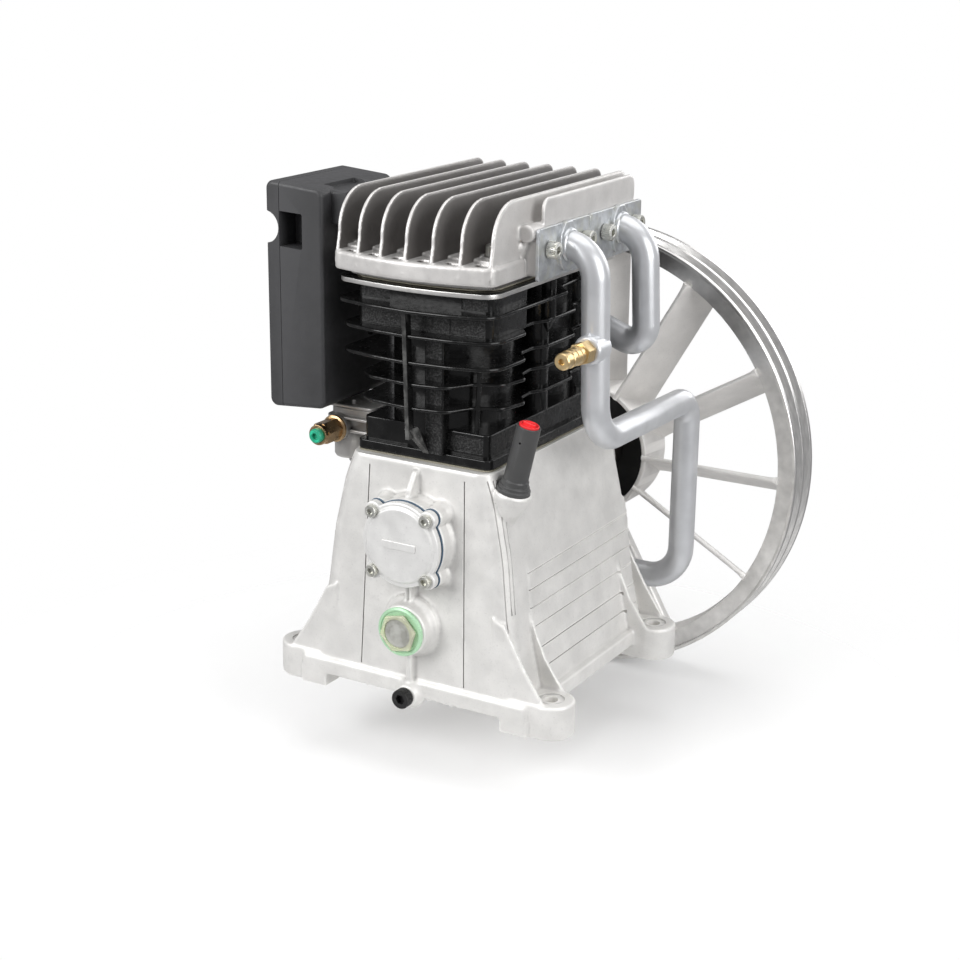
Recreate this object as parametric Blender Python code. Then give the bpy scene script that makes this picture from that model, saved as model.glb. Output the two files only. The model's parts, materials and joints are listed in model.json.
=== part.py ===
"""Belt-driven, two-stage, two-cylinder piston compressor pump (bare pump, no tank).

Lengths are millimetres in this file and are scaled to metres when a mesh is made.
Origin: centre of the four foot holes on the feet's underside.
+X is the intercooler side, +Y points to the flywheel, +Z is up.
"""
import math

import bmesh
import bpy
from mathutils import Matrix, Vector

MM = 0.001
GAP = 0.3                      # clearance left between neighbouring pieces
ROUND = 16                     # facets of an ordinary round piece
SMALL = 8                      # facets of a small round piece
LARGE = 20                     # facets of a bearing seat or a cylinder bore
RIM = 40                       # facets of the flywheel rim

# Crankshaft line
AXIS_Z = 141.0
THROW = 26.0
ROD_LENGTH = 120.0
FRONT_BORE_Y = -46.0
REAR_BORE_Y = 46.0
JOURNAL_R = 12.0
PIN_R = 15.0
REAR_JOURNAL_R = 20.0

# Flywheel
WHEEL_R = 200.0
WHEEL_Y = 179.3
WHEEL_W = 40.5
SPOKES = 12
HUB_R = 61.0

# Crankcase
FOOT_X = 115.0
FOOT_Y = 91.4
FOOT_R = 18.65
FOOT_H = 28.0
PAD_R = 18.0                    # cast pad under the middle of the sump
HOLE_R = 5.5
LEDGE_X = 105.3
LEDGE_Y = 112.4
LEDGE_Z = 24.5
BAND_LOW = 11.0
DECK_Z = 200.0
WALL = 7.0
GUSSET_TOP = 84.0
GUSSET_T = 3.6

# Front cover, sight glass, drain plug and oil filler
SCREW = 24.1                   # cover screws' offset from the crankshaft line
BOSS_Y = -118.6
COVER_R = 33.0
LOBE_R = 8.6
SIGHT_Z = 70.0
DRAIN_Z = 13.0
FILLER = (75.0, -86.0, 186.0)
FILLER_LEAN = 13.7

# Bearings: inner radius, outer radius
FRONT_BEARING = (12.3, 26.0)
REAR_BEARING = (20.3, 40.0)

# Cylinder block
BLOCK_Z = 201.6
BLOCK_TOP = 334.0
FRONT_BORE = 42.0
REAR_BORE = 42.0
PLUNGER_R = 24.7              # second-stage plunger radius
CORE_WALL = 6.5
FIN_T = 2.8
WIDE_FINS = (281.0, 301.0, 321.0)
NARROW_FINS = (245.5, 264.0)

# Head
PLATE_LOW = 335.0
PLATE_T = 3.6
HEAD_LOW = 340.2
HEAD_SHELF = 344.5
HEAD_FLOOR = 359.0
HEAD_TOP = 404.0
HEAD_X = 70.0
FIN_PITCH = 22.0

# Intercooler
TUBE_R = 11.0
TUBE_WALL = 2.0
TUBE_BEND = 16.0
TUBE_X = 111.0
FLANGE_X = 80.0
FLANGE_T = 2.6
FLANGE_LOW = 343.0
FLANGE_TOP = 382.0
PORT_Z = 365.0
TUBE_YS = (-24.0, 64.0)
FLANGE_BOLT_YS = (-51.0, 5.0, 39.0, 90.0)
VALVE_Z = 289.0
VALVE_FACE = -42.0             # front face of the tube's boss under the safety valve

# Delivery fitting
OUTLET_X = -95.5
OUTLET_Z = 206.0


# ---------------------------------------------------------------- helpers

def clear_scene():
    for obj in list(bpy.data.objects):
        bpy.data.objects.remove(obj, do_unlink=True)


def finish(name, color, roughness, metallic):
    """A Principled material, made once and shared by name."""
    found = bpy.data.materials.get(name)
    if found:
        return found
    made = bpy.data.materials.new(name)
    made.use_nodes = True
    shader = made.node_tree.nodes["Principled BSDF"]
    shader.inputs["Base Color"].default_value = (*color, 1.0)
    shader.inputs["Roughness"].default_value = roughness
    shader.inputs["Metallic"].default_value = metallic
    return made


def cast_aluminium():
    return finish("cast_aluminium", (0.66, 0.65, 0.63), 0.5, 0.6)


def black_iron():
    return finish("black_iron", (0.012, 0.012, 0.012), 0.3, 0.0)


def zinc():
    return finish("zinc", (0.72, 0.74, 0.76), 0.35, 0.8)


def steel():
    return finish("steel", (0.5, 0.5, 0.5), 0.3, 1.0)


def brass():
    return finish("brass", (0.78, 0.56, 0.25), 0.3, 1.0)


def black_plastic():
    return finish("black_plastic", (0.05, 0.05, 0.052), 0.55, 0.0)


def circle(radius, count=ROUND, centre=(0, 0), start=0.0):
    """Points of a regular polygon on a circle."""
    step = math.tau / count
    return [
        (centre[0] + radius * math.cos(start + step * i),
         centre[1] + radius * math.sin(start + step * i))
        for i in range(count)
    ]


def arc(centre, radius, start, end, count):
    """Points along an arc, angles in degrees."""
    points = []
    for i in range(count + 1):
        angle = math.radians(start + (end - start) * i / count)
        points.append((centre[0] + radius * math.cos(angle),
                       centre[1] + radius * math.sin(angle)))
    return points


def rounded(low_u, high_u, low_v, high_v, radius, count=2):
    """A rectangle outline with round corners."""
    return (
        arc((high_u - radius, low_v + radius), radius, -90, 0, count)
        + arc((high_u - radius, high_v - radius), radius, 0, 90, count)
        + arc((low_u + radius, high_v - radius), radius, 90, 180, count)
        + arc((low_u + radius, low_v + radius), radius, 180, 270, count)
    )


def rectangle(low_u, high_u, low_v, high_v):
    return [(low_u, low_v), (high_u, low_v), (high_u, high_v), (low_u, high_v)]


def placed(axis, u, v, along):
    """The point with outline coordinates u, v at a distance along an axis."""
    if axis == "X":
        return Vector((along, u, v))
    if axis == "Y":
        return Vector((u, along, v))
    return Vector((u, v, along))


def loft(loops):
    """A closed solid through loops that all have the same number of points."""
    bm = bmesh.new()
    rings = [[bm.verts.new(point) for point in loop] for loop in loops]
    count = len(rings[0])
    bm.faces.new(rings[0])
    bm.faces.new(rings[-1])
    for lower, upper in zip(rings, rings[1:]):
        for i in range(count):
            j = (i + 1) % count
            bm.faces.new((lower[i], lower[j], upper[j], upper[i]))
    return bm


def prism(outline, low, high, axis="Z"):
    """An outline extruded from low to high along an axis."""
    return loft([
        [placed(axis, u, v, low) for u, v in outline],
        [placed(axis, u, v, high) for u, v in outline],
    ])


def turned(profile, centre=(0, 0, 0), axis="Z", count=ROUND):
    """A ring-shaped solid: a closed profile of (radius, along) turned about an axis."""
    bm = bmesh.new()
    rings = []
    for radius, along in profile:
        ring = []
        for u, v in circle(radius, count):
            ring.append(bm.verts.new(Vector(centre) + placed(axis, u, v, along)))
        rings.append(ring)
    for first, second in zip(rings, rings[1:] + rings[:1]):
        for i in range(count):
            j = (i + 1) % count
            bm.faces.new((first[i], first[j], second[j], second[i]))
    return bm


def rod(radius, low, high, centre=(0, 0), axis="Z", count=ROUND):
    """A plain round bar; centre is in the axis's outline coordinates."""
    return prism(circle(radius, count, centre), low, high, axis)


def stepped(steps, centre=(0, 0), axis="Z", count=ROUND):
    """A round bar whose radius changes: steps of (radius, along)."""
    loops = []
    for radius, along in steps:
        loops.append([placed(axis, u, v, along) for u, v in circle(radius, count, centre)])
    return loft(loops)


def tilt(bm, pivot, degrees):
    """Turn a mesh about the Y direction through a pivot point."""
    turn = Matrix.Rotation(math.radians(degrees), 3, "Y")
    bmesh.ops.rotate(bm, verts=bm.verts, cent=Vector(pivot), matrix=turn)
    return bm


def add(name, bm, material, pivot=(0, 0, 0)):
    """Make an object from a millimetre mesh, with its origin at the pivot."""
    bmesh.ops.recalc_face_normals(bm, faces=bm.faces)
    bmesh.ops.translate(bm, verts=bm.verts, vec=-Vector(pivot))
    bmesh.ops.scale(bm, verts=bm.verts, vec=(MM, MM, MM))
    mesh = bpy.data.meshes.new(name)
    bm.to_mesh(mesh)
    bm.free()
    mesh.materials.append(material)
    mesh.shade_smooth()
    mesh.set_sharp_from_angle(angle=math.radians(35))
    obj = bpy.data.objects.new(name, mesh)
    obj.location = Vector(pivot) * MM
    bpy.context.scene.collection.objects.link(obj)
    return obj


def boolean(target, meshes, operation):
    """Join or cut with tool meshes, one after another."""
    material = target.data.materials[0]
    tools = [add("tool", bm, material) for bm in meshes]
    for tool in tools:
        modifier = target.modifiers.new("step", "BOOLEAN")
        modifier.operation = operation
        modifier.solver = "EXACT"
        modifier.object = tool
    bpy.context.view_layer.update()
    graph = bpy.context.evaluated_depsgraph_get()
    result = bpy.data.meshes.new_from_object(target.evaluated_get(graph))
    target.modifiers.clear()
    target.data = result
    for tool in tools:
        bpy.data.objects.remove(tool, do_unlink=True)
    return target


def join(target, meshes):
    return boolean(target, meshes, "UNION")


def cut(target, meshes):
    return boolean(target, meshes, "DIFFERENCE")


def screw(name, centre, head_y, head_r, head_h, shank_r, shank_length, material):
    """A socket-head screw along +Y, its head facing the front."""
    x, z = centre
    steps = [
        (head_r, head_y),
        (head_r, head_y + head_h),
        (shank_r, head_y + head_h),
        (shank_r, head_y + head_h + shank_length),
    ]
    body = add(name, stepped(steps, (x, z), "Y", SMALL), material)
    socket = prism(circle(head_r * 0.5, 6, (x, z)), head_y - 1, head_y + head_h * 0.6, "Y")
    return cut(body, [socket])


def lobed_outline():
    """The front cover's outline: a disc with a round lobe at each screw."""
    disc = (0.0, AXIS_Z)
    reach = math.hypot(SCREW, SCREW)
    cosine = (reach ** 2 + COVER_R ** 2 - LOBE_R ** 2) / (2 * reach * COVER_R)
    shared = math.degrees(math.acos(cosine))
    cosine = (reach ** 2 + LOBE_R ** 2 - COVER_R ** 2) / (2 * reach * LOBE_R)
    sweep = 180.0 - math.degrees(math.acos(cosine))
    outline = []
    for quarter in range(4):
        out = 45.0 + 90.0 * quarter
        centre = arc(disc, reach, out, out, 1)[0]
        outline += arc(centre, LOBE_R, out - sweep, out + sweep, 6)
        outline += arc(disc, COVER_R, out + shared, out + 90.0 - shared, 4)[1:-1]
    return outline


# -------------------------------------------------------------- crankcase

def half_width(z):
    """Outer half width of the crankcase: it flares downwards."""
    heights = [12.0, 27.0, 61.0, 92.0, 135.0, 179.0, DECK_Z]
    widths = [100.0, 97.5, 89.5, 85.0, 80.0, 70.5, 62.5]
    for low, high, first, second in zip(heights, heights[1:], widths, widths[1:]):
        if z <= high:
            return first + (second - first) * (z - low) / (high - low)
    return widths[-1]


def front_y(z):
    """Outer face of the front wall: it leans back a little upwards."""
    return -112.0 + (z - LEDGE_Z) * 9.5 / (DECK_Z - LEDGE_Z)


def crankcase_loop(z, inset):
    width = half_width(z) - inset
    outline = rounded(-width, width, front_y(z) + inset, -front_y(z) - inset - 2.0, 9.0)
    return [Vector((x, y, z)) for x, y in outline]


def crankcase_shell():
    levels = [12.0, 27.0, 61.0, 92.0, 135.0, 179.0, DECK_Z]
    return loft([crankcase_loop(z, 0.0) for z in levels])


def crankcase_cavity():
    levels = [18.0, 61.0, 92.0, 135.0, DECK_Z - 8.0]
    return loft([crankcase_loop(z, WALL) for z in levels])


def clapboards(side):
    """Stepped courses on a side wall, each lower course standing further out."""
    lines = [117.0, 103.0, 89.0, 73.0, 57.0, 41.0, LEDGE_Z]
    outline = []
    for high, low in zip(lines, lines[1:]):
        outline.append((side * (half_width(high) + 1.4), high))
        outline.append((side * (half_width(low) + 0.6), low))
    outline += [(side * 70.0, LEDGE_Z), (side * 70.0, lines[0])]
    return prism(outline, -FOOT_Y + FOOT_R, FOOT_Y, "Y")


def foot(side, end):
    """A bolt-down lug: a round boss and its straight root."""
    x = side * FOOT_X
    y = end * FOOT_Y
    inner = side * 84.0
    outline = rectangle(min(x, inner), max(x, inner), y - FOOT_R, y + FOOT_R)
    return [rod(FOOT_R, 0.0, FOOT_H, (x, y)), prism(outline, 0.0, FOOT_H - 0.01)]


def gusset(side, y):
    """A thin web from a side wall down to a foot."""
    outline = [
        (side * 78.0, FOOT_H - 4.0),
        (side * 78.0, GUSSET_TOP + 2.0),
        (side * (half_width(GUSSET_TOP) + 0.5), GUSSET_TOP),
        (side * 117.0, FOOT_H - 0.5),
        (side * 117.0, FOOT_H - 4.0),
    ]
    return prism(outline, y - GUSSET_T / 2, y + GUSSET_T / 2, "Y")


def corner_leg(side, end):
    """The band's lower corner that reaches the base plane."""
    low_x, high_x = sorted((side * 80.5, side * (LEDGE_X - 1.0)))
    low_y, high_y = sorted((end * 84.0, end * (LEDGE_Y - 0.5)))
    return prism(rectangle(low_x, high_x, low_y, high_y), 0.0, BAND_LOW + 1.0)


def filler_boss():
    """The leaning duct on the right shoulder that carries the oil filler."""
    return tilt(rod(14.0, 150.0, FILLER[2], FILLER[:2]), FILLER, FILLER_LEAN)


def front_bosses():
    """Bosses on the front wall for the bearing cover, sight glass and drain plug."""
    pieces = [prism(lobed_outline(), BOSS_Y, -98.0, "Y")]
    pieces.append(rod(20.0, -124.0, -104.0, (0, SIGHT_Z), "Y"))
    pieces.append(rod(9.0, -119.0, -104.0, (0, DRAIN_Z), "Y", SMALL))
    pieces.append(prism(rectangle(-2.6, 2.6, LEDGE_Z, AXIS_Z + 52.0), -114.0, -104.0, "Y"))
    return pieces


def crankcase_bores():
    """Everything that is cut out of the casting."""
    tools = [crankcase_cavity()]
    tools.append(prism(rounded(-43.5, 43.5, -89.5, 89.5, 12.0), 180.0, DECK_Z + 5.0))
    tools.append(rod(26.3, -130.0, -102.4, (0, AXIS_Z), "Y", LARGE))
    tools.append(rod(20.0, -103.0, -90.0, (0, AXIS_Z), "Y"))
    tools.append(rod(44.3, 88.0, 115.0, (0, AXIS_Z), "Y", LARGE))
    for x in (-SCREW, SCREW):
        for z in (-SCREW, SCREW):
            tools.append(rod(3.2, -130.0, -103.5, (x, AXIS_Z + z), "Y", SMALL))
    for x, z in housing_screw_places():
        tools.append(rod(2.8, 98.5, 115.0, (x, z), "Y", SMALL))
    tools.append(rod(13.0, -130.0, -95.0, (0, SIGHT_Z), "Y"))
    tools.append(rod(4.6, -130.0, -95.0, (0, DRAIN_Z), "Y", SMALL))
    tools.append(tilt(rod(7.5 + GAP, 140.0, 200.0, FILLER[:2]), FILLER, FILLER_LEAN))
    tools.append(tilt(rod(13.6, FILLER[2], 225.0, FILLER[:2]), FILLER, FILLER_LEAN))
    for side in (-1, 1):
        for end in (-1, 1):
            tools.append(rod(HOLE_R, -5.0, 40.0, (side * FOOT_X, end * FOOT_Y), "Z", SMALL))
    return tools


def crankcase():
    body = add("crankcase", crankcase_shell(), cast_aluminium())
    band = rounded(-LEDGE_X, LEDGE_X, -LEDGE_Y, LEDGE_Y, 7.0)
    pieces = [prism(band, BAND_LOW, LEDGE_Z)]
    for side in (-1, 1):
        pieces.append(clapboards(side))
        for end in (-1, 1):
            pieces += foot(side, end)
            pieces.append(corner_leg(side, end))
            pieces.append(gusset(side, end * (FOOT_Y + FOOT_R - GUSSET_T / 2)))
            pieces.append(gusset(side, end * (FOOT_Y - FOOT_R + GUSSET_T / 2)))
    pieces += front_bosses()
    pieces.append(rod(PAD_R, 0.0, BAND_LOW + 3.0, (0, 0)))
    pieces.append(rod(54.0, 92.0, 110.0, (0, AXIS_Z), "Y", LARGE))
    pieces.append(filler_boss())
    join(body, pieces)
    cut(body, crankcase_bores())


# ------------------------------------------------- covers and oil fittings

def cover_screw_holes():
    holes = []
    for x in (-SCREW, SCREW):
        for z in (-SCREW, SCREW):
            holes.append(rod(3.2, -140.0, -110.0, (x, AXIS_Z + z), "Y", SMALL))
    return holes


def front_cover():
    cover = add("front_cover", prism(lobed_outline(), -126.5, -120.2, "Y"), cast_aluminium())
    bar = prism(rectangle(-15.0, 15.0, AXIS_Z - 3.0, AXIS_Z + 3.0), -129.2, -126.0, "Y")
    join(cover, [rod(29.0, -128.3, -125.0, (0, AXIS_Z), "Y"), bar])
    cut(cover, cover_screw_holes())


def cover_gasket():
    blue = finish("gasket_blue", (0.16, 0.28, 0.42), 0.7, 0.0)
    gasket = add("cover_gasket", prism(lobed_outline(), -119.9, -118.9, "Y"), blue)
    cut(gasket, [rod(27.0, -125.0, -110.0, (0, AXIS_Z), "Y")] + cover_screw_holes())


def cover_screws():
    number = 1
    for x in (-SCREW, SCREW):
        for z in (-SCREW, SCREW):
            centre = (x, AXIS_Z + z)
            screw(f"cover_screw_{number}", centre, -131.2, 5.0, 4.4, 2.8, 20.0, steel())
            number += 1


def sight_glass():
    green = finish("anodised_green", (0.55, 0.75, 0.55), 0.35, 0.6)
    ring = [(13.3, -124.3), (19.7, -124.3), (19.7, -126.6), (18.9, -127.4), (13.3, -127.4)]
    add("sight_glass_ring", turned(ring, (0, 0, SIGHT_Z), "Y"), green)
    clear = finish("sight_glass_resin", (0.75, 0.72, 0.5), 0.15, 0.0)
    lens = add("sight_glass_lens", rod(12.6, -129.6, -106.0, (0, SIGHT_Z), "Y"), clear)
    join(lens, [prism(circle(16.4, 6, (0, SIGHT_Z)), -131.0, -127.7, "Y")])
    cut(lens, [rod(10.0, -112.0, -100.0, (0, SIGHT_Z), "Y")])


def drain_plug():
    black = finish("black_oxide", (0.03, 0.03, 0.03), 0.4, 0.6)
    screw("drain_plug", (0, DRAIN_Z), -127.0, 7.8, 7.6, 4.2, 14.0, black)


def oil_filler():
    x, y, z = FILLER
    steps = [(7.5, z - 14), (7.5, z + 0.4), (13.0, z + 0.4), (13.0, z + 3.5),
             (9.4, z + 5.5), (9.0, z + 55.0)]
    shape = tilt(stepped(steps, (x, y)), FILLER, FILLER_LEAN)
    tube = add("oil_filler_tube", shape, black_plastic())
    cut(tube, [tilt(rod(5.5, z - 20, z + 70, (x, y), "Z", SMALL), FILLER, FILLER_LEAN)])
    red = finish("red_plastic", (0.75, 0.03, 0.03), 0.4, 0.0)
    cap = [(5.0, z + 38), (5.0, z + 55.4), (8.6, z + 55.4), (8.6, z + 57.4), (7.8, z + 58.0)]
    add("oil_filler_cap", tilt(stepped(cap, (x, y)), FILLER, FILLER_LEAN), red, FILLER)


# ---------------------------------------------- bearings and running gear

def housing_screw_places():
    """Four screw centres round the rear bearing housing's flange."""
    return circle(49.0, 4, (0, AXIS_Z), math.radians(45))


def bearing_housing():
    profile = [
        (44.0, 100.0), (44.0, 110.3), (54.0, 110.3), (54.0, 117.0), (46.0, 121.0),
        (41.0, 150.0), (38.0, 166.0), (30.4, 166.0), (30.4, 155.5), (27.0, 155.5),
        (27.0, 128.0), (34.0, 122.6), (40.4, 122.6), (40.4, 100.0),
    ]
    body = add("bearing_housing", turned(profile, (0, 0, AXIS_Z), "Y", LARGE), cast_aluminium())
    holes = [rod(3.0, 105.0, 125.0, centre, "Y", SMALL) for centre in housing_screw_places()]
    seats = [rod(4.9, 117.0, 130.0, centre, "Y", SMALL) for centre in housing_screw_places()]
    cut(body, holes + seats)


def housing_screws():
    for number, (x, z) in enumerate(housing_screw_places(), 1):
        steps = [(4.5, 121.5), (4.5, 117.4), (2.5, 117.4), (2.5, 101.0)]
        add(f"housing_screw_{number}", stepped(steps, (x, z), "Y", SMALL), steel())


def bearing(name, radii, low, high):
    inner, outer = radii
    groove = (outer - inner) * 0.3
    profile = [
        (inner, low), (outer, low), (outer, high), (inner, high),
    ]
    middle = (inner + outer) / 2
    body = add(name, turned(profile, (0, 0, AXIS_Z), "Y", LARGE), steel())
    ring = [(middle - groove / 2, low - 1), (middle + groove / 2, low - 1),
            (middle + groove / 2, low + 2), (middle - groove / 2, low + 2)]
    cut(body, [turned(ring, (0, 0, AXIS_Z), "Y", LARGE)])


def bearings():
    bearing("front_bearing", FRONT_BEARING, -117.6, -102.7)
    bearing("rear_bearing", REAR_BEARING, 104.0, 122.0)
    profile = [(20.4, 156.0), (30.0, 156.0), (30.0, 165.0), (20.4, 165.0)]
    rubber = finish("seal_rubber", (0.03, 0.03, 0.03), 0.7, 0.0)
    add("shaft_seal", turned(profile, (0, 0, AXIS_Z), "Y", LARGE), rubber)


def crank_web(low, high):
    """A web with the crankpin's cheek above and a counterweight below."""
    outline = arc((0, AXIS_Z), 46.0, 205, 335, 6)
    outline += arc((0, AXIS_Z + THROW), 20.0, -10, 190, 6)
    return prism(outline, low, high, "Y")


def crankshaft():
    pivot = (0, 0, AXIS_Z)
    steps = [(JOURNAL_R, -117.0), (JOURNAL_R, -71.0)]
    body = add("crankshaft", stepped(steps, (0, AXIS_Z), "Y", ROUND), steel(), pivot)
    parts = [rod(REAR_JOURNAL_R, -21.0, 21.0, (0, AXIS_Z), "Y")]
    rear = [(REAR_JOURNAL_R, 71.0), (REAR_JOURNAL_R, 172.0), (17.0, 176.0), (17.0, 216.0)]
    parts.append(stepped(rear, (0, AXIS_Z), "Y"))
    for centre in (FRONT_BORE_Y, REAR_BORE_Y):
        parts.append(rod(PIN_R, centre - 15.0, centre + 15.0, (0, AXIS_Z + THROW), "Y"))
        for side in (-1, 1):
            near = centre + side * 14.0
            far = centre + side * 26.0
            parts.append(crank_web(min(near, far), max(near, far)))
    join(body, parts)
    cut(body, [rod(6.3, 190.0, 230.0, (0, AXIS_Z), "Y", SMALL)])


def connecting_rod(name, centre):
    """An I-shaped rod between the crankpin and the wrist pin."""
    low = AXIS_Z + THROW
    high = low + ROD_LENGTH
    pivot = (0, centre, low)
    big_end = rod(22.0, centre - 10.5, centre + 10.5, (0, low), "Y")
    body = add(name, big_end, cast_aluminium(), pivot)
    shank = [(-9.0, low + 12), (9.0, low + 12), (6.5, high - 5), (-6.5, high - 5)]
    join(body, [
        rod(10.5, centre - 10.0, centre + 10.0, (0, high), "Y"),
        prism(shank, centre - 5.0, centre + 5.0, "Y"),
    ])
    cut(body, [
        rod(PIN_R + GAP, centre - 20, centre + 20, (0, low), "Y"),
        rod(6.8, centre - 20, centre + 20, (0, high), "Y", SMALL),
    ])


def wrist_pin(name, centre):
    high = AXIS_Z + THROW + ROD_LENGTH
    add(name, rod(6.4, centre - 17.0, centre + 17.0, (0, high), "Y", SMALL), steel())


def piston(name, centre, plunger):
    """A hollow cup; the second stage carries a narrower plunger on its crown."""
    outer = FRONT_BORE - GAP
    inner = 39.2
    skirt = AXIS_Z + THROW + ROD_LENGTH - 14.0
    top = BLOCK_TOP - 1.0
    roof = 299.0 if plunger else 318.0
    shoulder = roof + 5.0 if plunger else top
    steps = [(inner, roof), (inner, skirt), (outer, skirt)]
    steps.append((outer, shoulder))
    if plunger:
        steps += [(PLUNGER_R, shoulder), (PLUNGER_R, top)]
    add(name, stepped(steps, (0, centre), "Z", LARGE), cast_aluminium())


def flywheel_rim():
    """The rim's section: two belt grooves outside, a lip and a web inside."""
    edge = WHEEL_Y
    land = 4.5
    groove_w = (WHEEL_W - 3 * land) / 2
    depth = 10.0
    profile = [(WHEEL_R - 3.2, edge)]
    for i in range(2):
        start = edge + land + i * (land + groove_w)
        profile += [(WHEEL_R, start - land), (WHEEL_R, start)]
        profile += [(WHEEL_R - depth, start + groove_w * 0.32)]
        profile += [(WHEEL_R - depth, start + groove_w * 0.68)]
    profile += [(WHEEL_R, edge + WHEEL_W - land), (WHEEL_R, edge + WHEEL_W)]
    profile += [(183.0, edge + WHEEL_W), (183.0, edge + 4.0), (WHEEL_R - 3.2, edge + 4.0)]
    return turned(profile, (0, 0, AXIS_Z), "Y", RIM)


def spoke(index):
    """A raked fan blade between the hub and the rim."""
    turn = math.tau * index / SPOKES
    rake = 19.0
    thick = 4.2
    loops = []
    for radius in (HUB_R - 3.0, 185.0):
        loop = []
        for along, across in ((1.0, 0.0), (WHEEL_W - 1.0, rake)):
            for edge in (-thick / 2, thick / 2):
                loop.append((across + edge, along))
        loop = [loop[0], loop[1], loop[3], loop[2]]
        points = []
        for across, along in loop:
            x = radius * math.cos(turn) + across * math.sin(turn)
            z = AXIS_Z + radius * math.sin(turn) - across * math.cos(turn)
            points.append(Vector((x, WHEEL_Y + along, z)))
        loops.append(points)
    return loft(loops)


def flywheel():
    pivot = (0, 0, AXIS_Z)
    iron = finish("flywheel_iron", (0.62, 0.6, 0.58), 0.45, 0.6)
    body = add("flywheel", flywheel_rim(), iron, pivot)
    edge = WHEEL_Y
    hub = [
        (17.3, edge + 6), (24.0, edge + 6), (24.0, edge + 24), (HUB_R - 5, edge + 24),
        (HUB_R - 4, edge), (HUB_R, edge), (HUB_R, edge + WHEEL_W), (HUB_R - 5, edge + WHEEL_W),
        (HUB_R - 5, edge + 32), (24.0, edge + 32), (24.0, edge + 38), (17.3, edge + 38),
    ]
    join(body, [turned(hub, (0, 0, AXIS_Z), "Y", LARGE)] + [spoke(i) for i in range(SPOKES)])


def flywheel_fasteners():
    pivot = (0, 0, AXIS_Z)
    far = WHEEL_Y + 38.3
    profile = [(6.6, far), (21.0, far), (21.0, far + 4.0), (6.6, far + 4.0)]
    add("flywheel_washer", turned(profile, (0, 0, AXIS_Z), "Y"), steel(), pivot)
    steps = [(5.7, 192.0), (5.7, far + 4.3), (10.5, far + 4.3), (10.5, far + 11.8)]
    add("flywheel_bolt", stepped(steps, (0, AXIS_Z), "Y", 6), steel(), pivot)


# ---------------------------------------------------- cylinders and head

def bulged(half, front, bulge, rear, corner):
    """A plate outline whose front edge bows forward between round corners."""
    outline = []
    count = 4
    span = half - corner
    for i in range(count + 1):
        x = -span + 2 * span * i / count
        outline.append((x, front - bulge * (1 - (x / half) ** 2)))
    outline += arc((half - corner, front + corner), corner, -60, 0, 2)
    outline += arc((half - corner, rear - corner), corner, 0, 90, 2)
    outline += arc((-half + corner, rear - corner), corner, 90, 180, 2)
    outline += arc((-half + corner, front + corner), corner, 180, 240, 2)
    return outline


def fin_outline(half, front, bulge):
    """A cooling fin's outline: wide round the first cylinder, narrow round the second."""
    wide = bulged(half, front, bulge, 16.0, 12.0)
    narrow = [(51.0, 18.0), (51.0, 72.0), (34.0, 90.0)]
    mirrored = [(-x, y) for x, y in reversed(narrow)]
    right_end = 9
    left_start = 13
    return wide[:right_end] + narrow + mirrored + wide[left_start:]


def gasket_paper():
    return finish("gasket_paper", (0.3, 0.28, 0.22), 0.8, 0.0)


def base_gasket():
    sheet = prism(rounded(-60, 60, -95, 92, 6), DECK_Z + 0.3, DECK_Z + 1.3)
    gasket = add("base_gasket", sheet, gasket_paper())
    cut(gasket, [prism(rounded(-43.5, 43.5, -89.5, 89.5, 12), DECK_Z - 5, DECK_Z + 5)])


def cylinder_block():
    flange = prism(rounded(-60, 60, -95, 92, 6), BLOCK_Z, 209.0)
    body = add("cylinder_block", flange, black_iron())
    pieces = [prism(rounded(-56, 56, -90, 87, 5), 208.0, 227.0)]
    for centre in (FRONT_BORE_Y, REAR_BORE_Y):
        pieces.append(rod(FRONT_BORE + CORE_WALL, 205.0, BLOCK_TOP, (0, centre)))
    for z in NARROW_FINS:
        pieces.append(prism(fin_outline(60.0, -98.0, 4.0), z - FIN_T / 2, z + FIN_T / 2))
    for z in WIDE_FINS:
        pieces.append(prism(fin_outline(69.0, -106.0, 9.0), z - FIN_T / 2, z + FIN_T / 2))
    pieces.append(prism(bulged(62, -98, 8, 94, 14), 327.0, BLOCK_TOP - 0.01))
    pieces.append(prism(rectangle(-2.2, 2.2, -108, -90), 226.0, 322.0))
    join(body, pieces)
    bores = [rod(FRONT_BORE, 190.0, 340.0, (0, FRONT_BORE_Y), "Z", LARGE)]
    bores.append(rod(REAR_BORE, 190.0, 305.5, (0, REAR_BORE_Y), "Z", LARGE))
    bores.append(rod(PLUNGER_R + GAP, 300.0, 340.0, (0, REAR_BORE_Y), "Z", LARGE))
    for x, y in head_bolt_places():
        bores.append(rod(4.4, 312.0, 340.0, (x, y), "Z", SMALL))
    cut(body, bores)


def head_bolt_places():
    return [(x, y) for y in (-82.0, 0.0, 78.0) for x in (-55.0, 55.0)]


def valve_plate():
    outline = bulged(69, -106, 10, 98, 14)
    body = add("valve_plate", prism(outline, PLATE_LOW, PLATE_LOW + PLATE_T), steel())
    holes = [rod(4.4, 330.0, 345.0, centre, "Z", SMALL) for centre in head_bolt_places()]
    for x in (-16.0, 16.0):
        holes.append(rod(9.0, 330.0, 345.0, (x, FRONT_BORE_Y), "Z", SMALL))
        holes.append(rod(5.0, 330.0, 345.0, (x * 0.6, REAR_BORE_Y), "Z", SMALL))
    cut(body, holes)


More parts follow.
